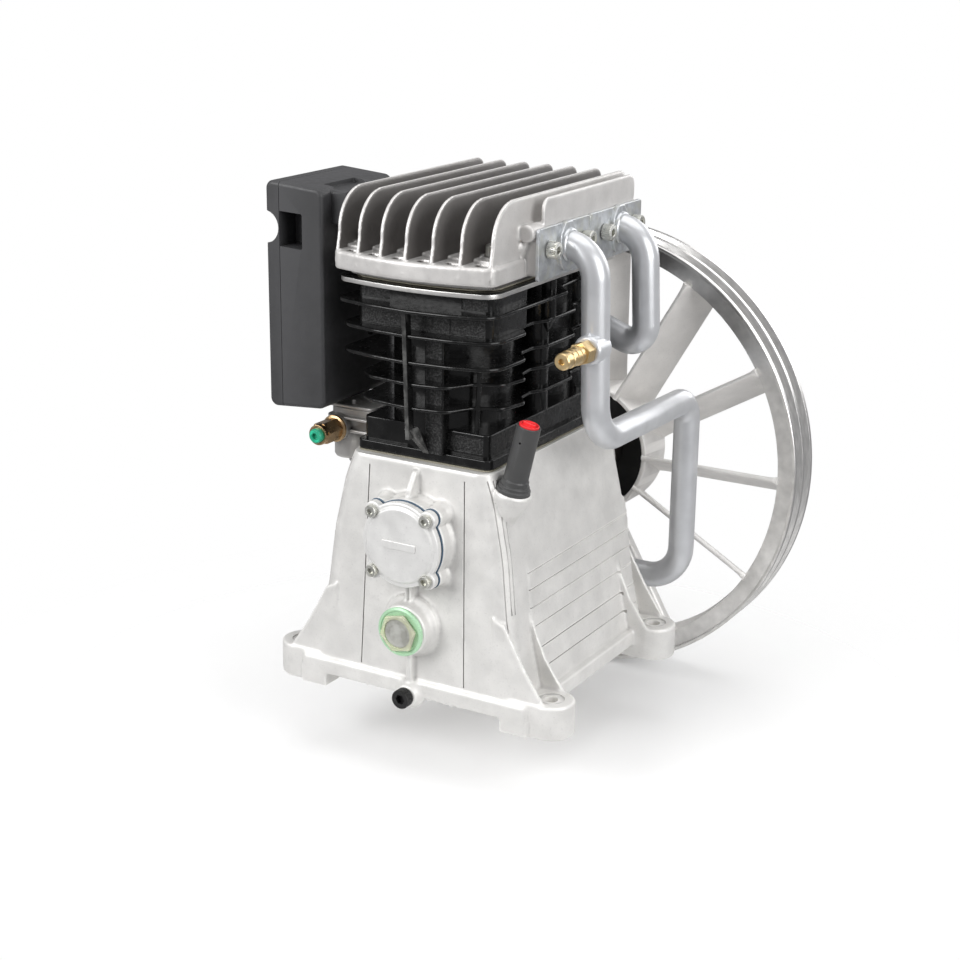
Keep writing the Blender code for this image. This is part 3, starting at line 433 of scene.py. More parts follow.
class Finish:
    """A Principled material whose colour, roughness and relief come from noise in the object's space."""

    def __init__(self, name, roughness, metallic):
        self.material = bpy.data.materials.new(name)
        self.material.use_nodes = True
        self.tree = self.material.node_tree
        self.shader = self.tree.nodes["Principled BSDF"]
        self.shader.inputs["Metallic"].default_value = metallic
        self.shader.inputs["Roughness"].default_value = roughness
        self.where = self.node("ShaderNodeTexCoord").outputs["Object"]
        self.relief = None

    def node(self, kind):
        return self.tree.nodes.new(kind)

    def link(self, source, target):
        self.tree.links.new(source, target)

    def math(self, operation, *sources):
        node = self.node("ShaderNodeMath")
        node.operation = operation
        for source, target in zip(sources, node.inputs):
            self.link(source, target)
        return node.outputs[0]

    def parts(self, vector):
        """A vector's X, Y and Z."""
        node = self.node("ShaderNodeSeparateXYZ")
        self.link(vector, node.inputs["Vector"])
        return node.outputs

    def noise(self, size_mm, detail=3.0, stretch=(1, 1, 1)):
        """Noise whose features are about size_mm across, stretched along the axes."""
        placing = self.node("ShaderNodeMapping")
        placing.inputs["Scale"].default_value = [1 / s for s in stretch]
        self.link(self.where, placing.inputs["Vector"])
        node = self.node("ShaderNodeTexNoise")
        node.inputs["Scale"].default_value = 1000.0 / size_mm
        node.inputs["Detail"].default_value = detail
        self.link(placing.outputs["Vector"], node.inputs["Vector"])
        return node.outputs["Fac"]

    def ramp(self, value, low, high, to_low=0.0, to_high=1.0):
        node = self.node("ShaderNodeMapRange")
        for key, number in (("From Min", low), ("From Max", high), ("To Min", to_low), ("To Max", to_high)):
            node.inputs[key].default_value = number
        self.link(value, node.inputs["Value"])
        return node.outputs["Result"]

    def mix(self, factor, first, second):
        node = self.node("ShaderNodeMix")
        node.data_type = "RGBA"
        self.link(factor, node.inputs[0])
        for source, target in ((first, node.inputs[6]), (second, node.inputs[7])):
            if isinstance(source, tuple):
                target.default_value = (*source, 1.0)
            else:
                self.link(source, target)
        return node.outputs[2]

    def edges(self, low, high):
        """White on convex edges, or with a falling range in concave corners."""
        return self.ramp(self.node("ShaderNodeNewGeometry").outputs["Pointiness"], low, high)

    def color(self, value):
        self.link(value, self.shader.inputs["Base Color"])
        return self

    def rough(self, value):
        self.link(value, self.shader.inputs["Roughness"])
        return self

    def bump(self, height, depth_mm):
        """Add relief; later calls sit on top of earlier ones."""
        node = self.node("ShaderNodeBump")
        node.inputs["Strength"].default_value = 1.0
        node.inputs["Distance"].default_value = depth_mm * MM
        self.link(height, node.inputs["Height"])
        if self.relief is not None:
            self.link(self.relief, node.inputs["Normal"])
        self.relief = node.outputs["Normal"]
        self.link(self.relief, self.shader.inputs["Normal"])
        return self

    def set(self, **values):
        for key, value in values.items():
            self.shader.inputs[key.replace("_", " ")].default_value = value
        return self


def shaded(color, factor):
    return tuple(min(1.0, c * factor) for c in color)


def cast_finish(name, color, roughness=0.52, metallic=0.35, grain=0.05, grey=(0.36, 0.35, 0.34)):
    """Blasted cast metal: cloudy patches, fine grain, brighter edges, and painted shade in the concave corners,
    mixed towards grey.
    """
    f = Finish(name, roughness, metallic)
    clouds = f.mix(f.ramp(f.noise(26, 4), 0.35, 0.68), shaded(color, 0.9), shaded(color, 1.05))
    specks = f.mix(f.ramp(f.noise(1.6, 2), 0.6, 0.74, 0.0, 0.35), clouds, shaded(color, 0.72))
    stained = f.mix(f.ramp(f.noise(9, 5), 0.6, 0.75, 0.0, 0.3), specks, shaded(color, 0.8))
    # painted shade: faces in concave corners are mixed towards the grey colour
    painted_corner_shade = f.mix(f.edges(0.488, 0.43), stained, grey)
    f.color(f.mix(f.edges(0.515, 0.57), painted_corner_shade, shaded(color, 1.25)))
    f.rough(f.ramp(f.noise(6, 4), 0.3, 0.7, roughness - 0.07, roughness + 0.1))
    f.bump(f.noise(5, 3), grain * 2.2)
    f.bump(f.noise(0.9, 2), grain)
    return f


def casting(*args, **values):
    return cast_finish(*args, **values).material


def finned(name, color, shadow, inside):
    """Blasted aluminium whose closely spaced fins shade one another's sides."""
    f = cast_finish(name, color, roughness=0.42, metallic=0.45, grain=0.03, grey=shaded(color, 0.35))
    base = f.shader.inputs["Base Color"].links[0].from_socket
    facing = f.node("ShaderNodeNewGeometry").outputs["True Normal"]
    place = f.parts(f.where)
    sideways = f.ramp(f.math("ABSOLUTE", f.parts(facing)["X"]), 0.55, 0.9)
    between = f.ramp(f.math("ABSOLUTE", place["X"]), inside + 0.0004, inside - 0.0004)
    lower = f.ramp(place["Z"], 0.36, 0.408, 1.0, 0.8)
    f.color(f.mix(f.math("MULTIPLY", f.math("MULTIPLY", sideways, between), lower), base, shadow))
    return f.material


def gloss_black():
    """Thick gloss paint over rough cast iron, rubbed thin on the fins' edges."""
    f = Finish("gloss_black", 0.2, 0.0)
    coat = f.mix(f.ramp(f.noise(14, 4), 0.4, 0.7), (0.004, 0.004, 0.004), (0.012, 0.012, 0.012))
    worn = f.mix(f.ramp(f.noise(7, 5), 0.42, 0.62, 0.25, 1.0), (0.02, 0.02, 0.02), (0.16, 0.16, 0.155))
    f.color(f.mix(f.edges(0.55, 0.66), coat, worn))
    f.rough(f.ramp(f.noise(4, 5), 0.35, 0.7, 0.1, 0.3))
    f.set(Specular_IOR_Level=0.36)
    f.bump(f.noise(7, 2), 0.2)
    f.bump(f.noise(1.5, 2), 0.03)
    return f.material


def rough_black():
    """Unmachined black iron in the casting's recesses."""
    f = Finish("rough_black", 0.42, 0.0)
    f.color(f.mix(f.ramp(f.noise(1.3, 3), 0.45, 0.65), (0.006, 0.006, 0.006), (0.05, 0.05, 0.05)))
    f.set(Specular_IOR_Level=0.35)
    f.bump(f.noise(1.6, 4), 0.7)
    return f.material


def machined(name, color, roughness=0.26, stretch=(1, 1, 14), metallic=1.0):
    """Turned or milled metal with fine tool marks along one direction."""
    f = Finish(name, roughness, metallic)
    marks = f.noise(0.8, 3, stretch)
    f.color(f.mix(f.ramp(marks, 0.3, 0.7), shaded(color, 0.84), shaded(color, 1.08)))
    f.rough(f.ramp(f.noise(12, 2), 0.3, 0.7, roughness - 0.02, roughness + 0.06))
    f.bump(marks, 0.003)
    return f.material


def plated(name, color, roughness=0.3):
    """Bright zinc plating: crystal blotches, soft scratches, yellowish tints."""
    f = Finish(name, roughness, 0.85)
    blotches = f.mix(f.ramp(f.noise(5, 3), 0.4, 0.62), shaded(color, 0.86), shaded(color, 1.06))
    tint = (color[0] * 1.0, color[1] * 0.98, color[2] * 0.86)
    f.color(f.mix(f.ramp(f.noise(8, 2), 0.5, 0.7, 0.0, 0.6), blotches, tint))
    f.rough(f.ramp(f.noise(5, 2), 0.3, 0.7, roughness - 0.04, roughness + 0.1))
    return f.material


def painted(name, color, roughness=0.3, metallic=0.35, peel=0.05):
    """Sprayed paint with a faint orange peel."""
    f = Finish(name, roughness, metallic)
    f.color(f.mix(f.ramp(f.noise(20, 3), 0.35, 0.65), shaded(color, 0.93), shaded(color, 1.04)))
    f.rough(f.ramp(f.noise(34, 2), 0.3, 0.7, roughness - 0.02, roughness + 0.05))
    f.bump(f.noise(6, 1), peel)
    return f.material


def plastic(name, color, roughness=0.5, grain=0.03, grain_size=0.7):
    """Moulded plastic with a spark-eroded grain and lighter scuffed edges."""
    f = Finish(name, roughness, 0.0)
    base = f.mix(f.ramp(f.noise(30, 4), 0.35, 0.65), shaded(color, 0.88), shaded(color, 1.1))
    f.color(f.mix(f.edges(0.52, 0.6), base, shaded(color, 1.5)))
    f.rough(f.ramp(f.noise(5, 4), 0.3, 0.7, roughness - 0.06, roughness + 0.08))
    f.bump(f.noise(grain_size, 2), grain)
    return f.material


def sheet(name, color):
    """Gasket sheet with fibres."""
    f = Finish(name, 0.75, 0.0)
    f.color(f.mix(f.ramp(f.noise(0.8, 4, (1, 3, 1)), 0.35, 0.7), shaded(color, 0.7), shaded(color, 1.2)))
    f.bump(f.noise(0.6, 3), 0.04)
    return f.material


def felt():
    f = Finish("filter_felt", 0.95, 0.0)
    f.color(f.mix(f.ramp(f.noise(0.7, 5), 0.35, 0.65), (0.5, 0.44, 0.3), (0.72, 0.66, 0.5)))
    f.bump(f.noise(0.8, 5), 0.4)
    return f.material


def clear_resin():
    """Faintly yellow clear plastic."""
    f = Finish("clear_resin", 0.12, 0.0)
    f.color(f.mix(f.ramp(f.noise(6, 2), 0.4, 0.6), (0.93, 0.93, 0.74), (0.86, 0.88, 0.64)))
    f.set(Transmission_Weight=0.55, IOR=1.46)
    f.bump(f.noise(3, 2), 0.02)
    return f.material


def window():
    """The sight glass's own window, pale grey behind clear plastic."""
    f = Finish("window", 0.08, 0.0)
    f.color(f.mix(f.ramp(f.noise(9, 2), 0.4, 0.62), (0.3, 0.3, 0.27), (0.44, 0.44, 0.41)))
    f.set(Coat_Weight=1.0, Coat_Roughness=0.04)
    f.bump(f.noise(4, 2), 0.03)
    return f.material


CASE = casting("case_aluminium", (0.73, 0.72, 0.7))
COVER = casting("cover_aluminium", (0.79, 0.785, 0.77), roughness=0.42, grain=0.02)
HEAD = finned("head_aluminium", (0.64, 0.625, 0.61), (0.15, 0.14, 0.134), 0.0672)
DELIVERY = casting("delivery_aluminium", (0.5, 0.49, 0.475), roughness=0.38, metallic=0.6, grain=0.03,
                   grey=(0.2, 0.19, 0.18))
WHEEL = casting("wheel_iron", (0.8, 0.785, 0.765), roughness=0.45, metallic=0.4, grain=0.03,
                grey=(0.45, 0.44, 0.43))
DARK_CAST = casting("hub_dark", (0.075, 0.066, 0.06), roughness=0.5, metallic=0.2, grain=0.08,
                    grey=(0.02, 0.02, 0.02))
BLACK = gloss_black()
ROUGH = rough_black()
RIM = machined("rim_turned", (0.76, 0.75, 0.735), 0.3, (14, 1, 14))
EDGE = machined("machined_edge", (0.72, 0.71, 0.69), 0.34, (8, 8, 1))
STEEL = plated("bolt_steel", (0.66, 0.66, 0.62), 0.28)
ZINC = plated("zinc_plate", (0.62, 0.64, 0.66), 0.36)
TUBE = painted("tube_silver", (0.66, 0.67, 0.69), 0.3, 0.5, 0.012)
BRASS = machined("brass", (0.8, 0.6, 0.32), 0.3, (4, 1, 4))
DARK_BRASS = machined("fitting_brass", (0.52, 0.36, 0.2), 0.26, (4, 1, 4))
BLACK_OXIDE = machined("black_oxide", (0.02, 0.02, 0.02), 0.38, (2, 1, 2), metallic=0.5)
FILTER = plastic("filter_plastic", (0.036, 0.036, 0.038), 0.5)
FILLER_BLACK = plastic("filler_plastic", (0.06, 0.06, 0.06), 0.4, 0.02)
RED = plastic("cap_red", (0.78, 0.03, 0.035), 0.35, 0.01)
GREEN = plastic("plug_green", (0.02, 0.38, 0.22), 0.35, 0.01)
PALE_GREEN = machined("ring_green", (0.5, 0.78, 0.52), 0.35, (1, 8, 1), metallic=0.35)
RESIN = clear_resin()
WINDOW = window()
BLUE_SHEET = sheet("blue_gasket", (0.09, 0.14, 0.2))
PAPER = sheet("paper_gasket", (0.28, 0.26, 0.2))
RUBBER = plastic("seal_rubber", (0.03, 0.03, 0.03), 0.7)
FORGED = casting("forged_steel", (0.36, 0.35, 0.34), roughness=0.4, metallic=0.9, grain=0.03)
GROUND = machined("ground_steel", (0.62, 0.62, 0.62), 0.16, (1, 1, 10))
SPRING = machined("spring_steel", (0.3, 0.33, 0.38), 0.24, (1, 10, 1))


# ---------------------------------------------------------------- crankcase

def half_width(z):
    """Outer half width of the crankcase: it flares downwards."""
    for (low, first), (high, second) in zip(SIDE_FLARE, SIDE_FLARE[1:]):
        if z <= high:
            return first + (second - first) * (z - low) / (high - low)
    return SIDE_FLARE[-1][1]


def front_y(z):
    """The front wall leans back a little upwards."""
    return -109.4 + (z - LEDGE_Z) * 7.2 / (DECK_Z - LEDGE_Z)


def lobed(grow=0.0):
    """The front cover's outline: a disc with a round lobe at each screw."""
    disc = (0.0, AXIS_Z)
    reach = math.hypot(SCREW, SCREW)
    radius = 34.0 + grow
    lobe = 7.3 + grow
    cosine = (reach ** 2 + radius ** 2 - lobe ** 2) / (2 * reach * radius)
    shared = math.degrees(math.acos(cosine))
    cosine = (reach ** 2 + lobe ** 2 - radius ** 2) / (2 * reach * lobe)
    sweep = 180.0 - math.degrees(math.acos(cosine))
    outline = []
    for quarter in range(4):
        out = 45.0 + 90.0 * quarter
        centre = arc(disc, reach, out, out, 1)[0]
        outline += arc(centre, lobe, out - sweep, out + sweep, 14)
        outline += arc(disc, radius, out + shared, out + 90.0 - shared, 12)[1:-1]
    return outline


def case_body():
    """The tapered box, its corners rounded like posts."""
    loops = []
    for i in range(25):
        z = 12.0 + (DECK_Z - 12.0) * i / 24
        width = half_width(z)
        outline = rounded(-width, width, front_y(z), -front_y(z) - 2.0, CORNER_R, 8)
        loops.append([Vector((x, y, z)) for x, y in outline])
    return loft(loops)


def side_panel(side):
    """The flat side panel, standing a little proud of the corner posts."""
    heights = [LEDGE_Z - 2.0, 27.0, 61.0, 92.0, 118.0]
    outline = [(side * (half_width(z) + 1.3), z) for z in heights]
    outline += [(side * (half_width(132.0) - 0.5), 132.0), (side * 60.0, 132.0), (side * 60.0, LEDGE_Z - 2.0)]
    return prism(outline, -73.0, 99.0, "Y")


def corner_creases(side):
    """Three fine creases that run down a front corner's rounding."""
    tools = []
    for degrees, low in ((-47.0, 34.0), (-26.0, 92.0), (-10.0, 92.0)):
        path = []
        for i in range(16):
            z = low + (195.0 - low) * i / 15
            x = half_width(z) - CORNER_R + (CORNER_R + 0.25) * math.cos(math.radians(degrees))
            y = front_y(z) + CORNER_R + (CORNER_R + 0.25) * math.sin(math.radians(degrees))
            path.append(Vector((side * x, y, z)))
        tools.append(swept(path, 0.75, 8))
    return tools


def foot_parts(side, end):
    x, y = side * FOOT_X, end * FOOT_Y
    inner = side * 84.0
    root = rectangle(min(x, inner), max(x, inner), y - FOOT_R + 0.4, y + FOOT_R - 0.4)
    leg_x = sorted((side * 80.5, side * (LEDGE_X - 0.8)))
    leg_y = sorted((end * 84.0, end * (LEDGE_Y - 0.4)))
    parts = [plate(circle(FOOT_R, 40, (x, y)), 0.0, FOOT_H, edge=1.6), plate(root, 0.0, FOOT_H, edge=1.6)]
    parts.append(prism(rectangle(*leg_x, *leg_y), 0.0, BAND_LOW + 2.0))
    for plane, tuck in ((FOOT_Y + FOOT_R - 3.4, 4.5), (FOOT_Y - FOOT_R + 1.9, -0.9)):
        web = [(side * 72.0, FOOT_H - 6), (side * 72.0, 90.0), (side * (half_width(86.0) - tuck), 86.0),
               (side * (93.0 - tuck * 0.4), 68.0), (side * 101.0, 51.0), (side * 117.0, FOOT_H - 0.2),
               (side * 117.0, FOOT_H - 6)]
        low_y, high_y = sorted((end * (plane - 1.7), end * (plane + 1.7)))
        parts.append(prism(web, low_y, high_y, "Y"))
    return parts


def front_details():
    """Bosses and ribs on the front wall."""
    parts = []
    for grow, near in ((1.8, front_y(AXIS_Z) - 2.4), (0.6, BOSS_Y)):
        parts.append(prism(lobed(grow), near, -98.0, "Y"))
    parts.append(stepped([(25.0, -100.0), (25.0, -111.0), (21.2, -114.5), (20.6, -123.6)],
                         (0, SIGHT_Z), "Y", 48, 2.0))
    parts.append(stepped([(12.0, -105.0), (12.0, -113.0), (9.4, -115.0), (9.0, -118.6)],
                         (0, DRAIN_Z), "Y", 32, 1.0))
    upper = [(-115.5, AXIS_Z + 30), (-115.5, AXIS_Z + 41), (-106.5, AXIS_Z + 54), (-98.0, AXIS_Z + 54),
             (-98.0, AXIS_Z + 30)]
    parts.append(prism(upper, -2.4, 2.4, "X"))
    for x in (-2.1, 2.1):
        parts.append(prism(rectangle(x - 0.9, x + 0.9, SIGHT_Z, AXIS_Z - 30), -115.4, -100.0, "Y"))
    parts.append(prism(rectangle(-3.0, 3.0, SIGHT_Z, AXIS_Z - 30), -113.6, -100.0, "Y"))
    parts.append(prism(rectangle(-2.5, 2.5, LEDGE_Z - 2, SIGHT_Z), -114.6, -100.0, "Y"))
    return parts


def band_parts():
    """The base band and the little drips of flash under its front edge."""
    parts = [plate(rounded(-LEDGE_X, LEDGE_X, -LEDGE_Y, LEDGE_Y, 6.0), BAND_LOW, LEDGE_Z, edge=1.8)]
    chance = random.Random(7)
    for i in range(15):
        x = -66.0 + 9.4 * i + chance.uniform(-3.5, 3.5)
        if abs(x) > 13:
            size = chance.uniform(0.9, 1.9)
            y = -LEDGE_Y + 2.4
            parts.append(stepped([(size * 0.6, BAND_LOW - size), (size * 1.2, BAND_LOW + 2.0)], (x, y), "Z", 10))
    return parts


def filler_duct():
    steps = [(5.0, 158.0), (11.5, 170.0), (15.0, FILLER.z - 5), (15.2, FILLER.z + 1.0)]
    return tilt(stepped(steps, FILLER.xy, "Z", 40, 1.2), FILLER_LEAN, FILLER)


def build_crankcase():
    parts = [case_body(), filler_duct()] + band_parts() + front_details()
    parts.append(plate(circle(PAD_R, 40), CASE_LOW.z, BAND_LOW + 4.0, edge=1.0))
    for side in (-1, 1):
        parts.append(side_panel(side))
        for end in (-1, 1):
            parts += foot_parts(side, end)
    parts.append(stepped([(58.0, 96.0), (58.0, 104.0), (54.5, 108.0), (54.0, 109.9)], (0, AXIS_Z), "Y", 64))
    case = cast("crankcase_casting", parts, CASE_VOXEL, 3)
    tools = []
    for side in (-1, 1):
        for end in (-1, 1):
            spot = (side * FOOT_X, end * FOOT_Y)
            tools.append(peg(5.5, -4.0, 40.0, spot, "Z", 32))
            tools.append(peg(10.6, FOOT_H - 0.7, 40.0, spot, "Z", 40))
        tools += side_grooves(side)
        tools.append(front_groove(side))
        tools += corner_creases(side)
    tools.append(peg(44.3, 98.0, 120.0, (0, AXIS_Z), "Y", 64))
    tools.append(prism(rectangle(-90, 90, -150, 150), DECK_Z, DECK_Z + 40))
    tools.append(tilt(peg(13.6, FILLER.z, 230.0, FILLER.xy, "Z", 48), FILLER_LEAN, FILLER))
    cut(case, tools, 40)
    fit(case, CASE, "root", "crankcase")


def side_grooves(side):
    """Fine horizontal joints down a side panel."""
    tools = []
    for z in (118.0, 104.5, 90.0, 74.7, 56.5, 41.0):
        x = half_width(z) + 1.3
        outline = [(side * (x - 1.1), z - 0.3), (side * (x + 3.0), z - 2.6), (side * (x + 3.0), z + 0.6),
                   (side * (x - 1.1), z + 0.3)]
        tools.append(prism(outline, -74.0, 100.5, "Y"))
    return tools


def front_groove(side):
    """One of the two upright grooves on the front wall."""
    low, high = (side * 47.4, LEDGE_Z + 3.2), (side * 42.6, 192.8)
    loops = []
    for depth in (-4.0, 0.7):
        loop = []
        for (x, z), offsets in ((low, (-0.6, 0.6)), (high, (0.6, -0.6))):
            for offset in offsets:
                loop.append(Vector((x + offset, front_y(z) + depth, z)))
        loops.append(loop)
    return loft(loops)


# ------------------------------------------------ fasteners and front cover

def bolt(name, node, place, direction, head, shank, socket, flutes, material=None):
    """A socket-head cap screw with a knurled head: place is the centre of the head's outer face."""
    radius, height = head
    shank_r, shank_l = shank
    knurl = 0.35
    steps = [(radius - 0.7, 0.0), (radius, -0.7), (radius, -height), (shank_r, -height),
             (shank_r, -height - shank_l)]
    count = flutes * 4
    loops = []
    for wave, (r, along) in zip((0.0, 1.0, 1.0, 0.0, 0.0), steps):
        loop = []
        for i in range(count):
            reach = r - wave * knurl * (i % 4 > 1)
            turn = math.tau * i / count
            loop.append(Vector((reach * math.cos(turn), reach * math.sin(turn), along)))
        loops.append(loop)
    obj = make(name, aimed(loft(loops), place, direction), 30)
    recess = stepped([(socket * 1.25, 1.0), (socket * 1.12, 0.0), (socket, -0.5), (socket, -height * 0.6)],
                     (0, 0), "Z", 6)
    cut(obj, [aimed(recess, place, direction)], 30)
    fit(obj, material or STEEL, "root", node)


def build_front_cover():
    low = COVER_LOW.y
    face = low + 2.7
    places = [(x, AXIS_Z + z) for x in (-SCREW, SCREW) for z in (-SCREW, SCREW)]
    parts = [plate(lobed(), face, COVER_HIGH.y, "Y", 1.2)]
    parts.append(stepped([(30.6, face + 2), (30.6, face - 0.1), (29.0, face - 1.7), (2.0, face - 1.9)],
                         (0, AXIS_Z), "Y", 64, 1.0))
    parts += [peg(7.0, face + 3, face - 0.4, place, "Y", 32, 0.5) for place in places]
    cover = cast("front_bearing_cover", parts, COVER_VOXEL, 2)
    bar = rounded(-15.0, 15.0, AXIS_Z - 3.0, AXIS_Z + 3.0, 1.4)
    join(cover, [plate(bar, face - 2.7, face + 1.0, "Y", 0.3)], 40)
    cut(cover, [peg(3.2, -140, -100, place, "Y", 24) for place in places], 40)
    fit(cover, COVER, "root", "front_cover")
    gasket = make("front_cover_gasket", plate(lobed(0.5), COVER_HIGH.y + 0.3, BOSS_Y - 0.3, "Y", 0.3))
    fit(gasket, BLUE_SHEET, "root", "cover_gasket")
    for number, (x, z) in enumerate(places, 1):
        bolt(f"cap_screw_{number}", f"cover_screw_{number}", (x, low - 2.0, z), (0, -1, 0), (5.0, 4.4),
             (2.8, 18.0), 2.5, 24)


def build_sight_glass():
    low = RING_LOW.y
    centre = (0, 0, SIGHT_Z)
    ring = turned([(13.4, RING_HIGH.y), (19.8, RING_HIGH.y), (19.8, low + 1.0), (18.6, low),
                   (17.2, low), (16.8, low + 0.7), (13.4, low + 0.7)], centre, "Y", 72, 0.35)
    ring = make("sight_glass_bezel", ring)
    fit(ring, PALE_GREEN, "root", "sight_glass_ring")
    nut = plate(smooth_loop(circle(16.4, 6, (0, SIGHT_Z), math.radians(12)), 2.2), low - 3.6, low - 0.4, "Y", 0.9)
    nut = make("sight_glass_nut", nut)
    cut(nut, [peg(11.8, low - 8, low - 2.2, (0, SIGHT_Z), "Y", 48)])
    neck = peg(12.6, low - 0.8, low + 18, (0, SIGHT_Z), "Y", 48)
    join(nut, [neck])
    fit(nut, RESIN, "root", "sight_glass_lens")
    disc = stepped([(11.5, low - 2.1), (11.5, low - 2.6), (9.6, low - 3.0)], (0, SIGHT_Z), "Y", 48)
    pane = make("sight_glass_window", disc)
    hoop = turned([(7.4, low - 3.2), (8.0, low - 3.35), (8.6, low - 3.2), (8.0, low - 2.4)], (0, 0, SIGHT_Z),
                  "Y", 48)
    join(pane, [hoop])
    fit(pane, WINDOW, "root")


def build_drain_plug():
    bolt("drain_screw", "drain_plug", (0, DRAIN_LOW.y, DRAIN_Z), (0, -1, 0), (7.8, 7.6), (4.2, 13.0), 4.1, 30,
         BLACK_OXIDE)


def build_oil_filler():
    z = FILLER.z
    steps = [(7.3, z - 13), (7.3, z + 0.3), (13.2, z + 0.3), (13.2, z + 3.6), (11.9, z + 4.2), (11.9, z + 6.4),
             (10.6, z + 7.0), (10.4, z + 10.5), (9.5, z + 11.5), (9.2, z + 55.0)]
    tube = make("filler_pipe", tilt(stepped(steps, FILLER.xy, "Z", 48, 0.5), FILLER_LEAN, FILLER))
    bore = tilt(stepped([(5.6, z - 20), (5.6, z + 51.2), (8.0, z + 52.6), (8.0, z + 60)], FILLER.xy, "Z", 48),
                FILLER_LEAN, FILLER)
    vent = peg(0.95, -100.0, -86.0, (FILLER.x + 0.2, z + 43.0), "Y", 20)
    cut(tube, [bore, tilt(vent, FILLER_LEAN, FILLER)])
    fit(tube, FILLER_BLACK, "root", "oil_filler_tube")
    cap_steps = [(5.0, z + 38), (5.0, z + 53.2), (7.7, z + 53.2), (7.7, z + 56.0), (6.6, z + 56.4),
                 (6.6, z + 55.4)]
    cap = make("filler_stopper", tilt(stepped(cap_steps, FILLER.xy, "Z", 48, 0.25), FILLER_LEAN, FILLER))
    grip = plate(rounded(-5.2, 5.2, -1.3, 1.3, 1.2), z + 55.0, z + 57.6, "Z", 0.5)
    bmesh.ops.translate(grip, verts=grip.verts, vec=(FILLER.x, FILLER.y, 0))
    join(cap, [tilt(grip, FILLER_LEAN, FILLER)])
    fit(cap, RED, "filler_cap", "oil_filler_cap")


# ------------------------------------------------------------ running gear

def rim_profile():
    """The turned rim: two belt grooves, three lands, a lip inside."""
    land = 4.5
    width = WHEEL_BACK - WHEEL_Y
    groove = (width - 3 * land) / 2
    outer = WHEEL_R
    run = [(183.0, WHEEL_Y + 3.6), (outer - 3.2, WHEEL_Y + 3.6), (outer - 3.0, WHEEL_Y + 0.3),
           (outer - 2.4, WHEEL_Y), (outer - 0.5, WHEEL_Y), (outer, WHEEL_Y + 0.5)]
    for i in range(2):
        start = WHEEL_Y + land + i * (land + groove)
        run += [(outer, start - 0.4), (outer - 0.5, start), (outer - 10.5, start + groove * 0.33),
                (outer - 11.2, start + groove * 0.4), (outer - 11.2, start + groove * 0.6),
                (outer - 10.5, start + groove * 0.67), (outer - 0.5, start + groove)]
        run += [(outer, start + groove + 0.4)]
    run += [(outer, WHEEL_BACK - 0.5), (outer - 0.5, WHEEL_BACK), (186.0, WHEEL_BACK), (183.0, WHEEL_BACK - 2.0),
            (181.6, WHEEL_BACK - 18.0)]
    return run


def blade(index):
    """A raked fan blade with rounded edges."""
    turn = math.tau * index / BLADES
    width = WHEEL_BACK - WHEEL_Y
    rake = 19.0
    half = 2.1
    loops = []
    for radius, thick in ((57.0, 1.35), (64.0, 1.08), (80.0, 1.0), (172.0, 0.92), (179.0, 1.05), (184.0, 1.5)):
        loop = []
        face = Vector((rake, width - 3.0)).normalized()
        across_dir = Vector((face.y, -face.x))
        for centre, first in ((Vector((0.0, 1.4)), 180.0), (Vector((rake, width - 1.6)), 0.0)):
            for step in range(7):
                angle = math.radians(first + 30.0 * step)
                offset = across_dir * math.cos(angle) + face * math.sin(angle)
                loop.append(centre + offset * half * thick)
        points = []
        for p in loop:
            x = radius * math.cos(turn) + p.x * math.sin(turn)
            z = AXIS_Z + radius * math.sin(turn) - p.x * math.cos(turn)
            points.append(Vector((x, WHEEL_Y + p.y, z)))
        loops.append(points)
    return loft(loops)


def build_flywheel():
    edge = WHEEL_Y
    hub = [(17.3, edge + 5), (25.0, edge + 5), (27.0, edge + 24), (55.0, edge + 26), (56.4, edge + 1.0),
           (57.6, edge), (60.0, edge), (61.0, edge + 1.0), (61.4, WHEEL_BACK - 1), (60.4, WHEEL_BACK),
           (57.0, WHEEL_BACK), (55.4, edge + 33), (27.0, edge + 33), (25.0, edge + 38), (17.3, edge + 38)]
    wheel = make("flywheel_casting", turned(hub, (0, 0, AXIS_Z), "Y", 96), 30)
    rim = turned(rim_profile(), (0, 0, AXIS_Z), "Y", 180)
    join(wheel, [rim] + [blade(i) for i in range(BLADES)], 30)
    fit(wheel, WHEEL, "crank", "flywheel")
    patch(wheel, RIM, lambda middle, normal: math.hypot(middle.x, middle.z - AXIS_Z) > 187.0)
    patch(wheel, DARK_CAST, lambda middle, normal: math.hypot(middle.x, middle.z - AXIS_Z) < 56.0)


def build_shaft_end():
    far = WHEEL_Y + 38.3
    washer = make("shaft_washer", turned([(6.8, far), (21.0, far), (21.0, far + 4), (6.8, far + 4)],
                                         (0, 0, AXIS_Z), "Y", 64, 0.5))
    fit(washer, STEEL, "crank", "flywheel_washer")
    head = plate(circle(10.5, 6, (0, AXIS_Z)), far + 4.3, far + 11.8, "Y", 0.7)
    screw = make("shaft_bolt", head)
    join(screw, [peg(5.7, 192.0, far + 6.0, (0, AXIS_Z), "Y", 32)])
    fit(screw, STEEL, "crank", "flywheel_bolt")


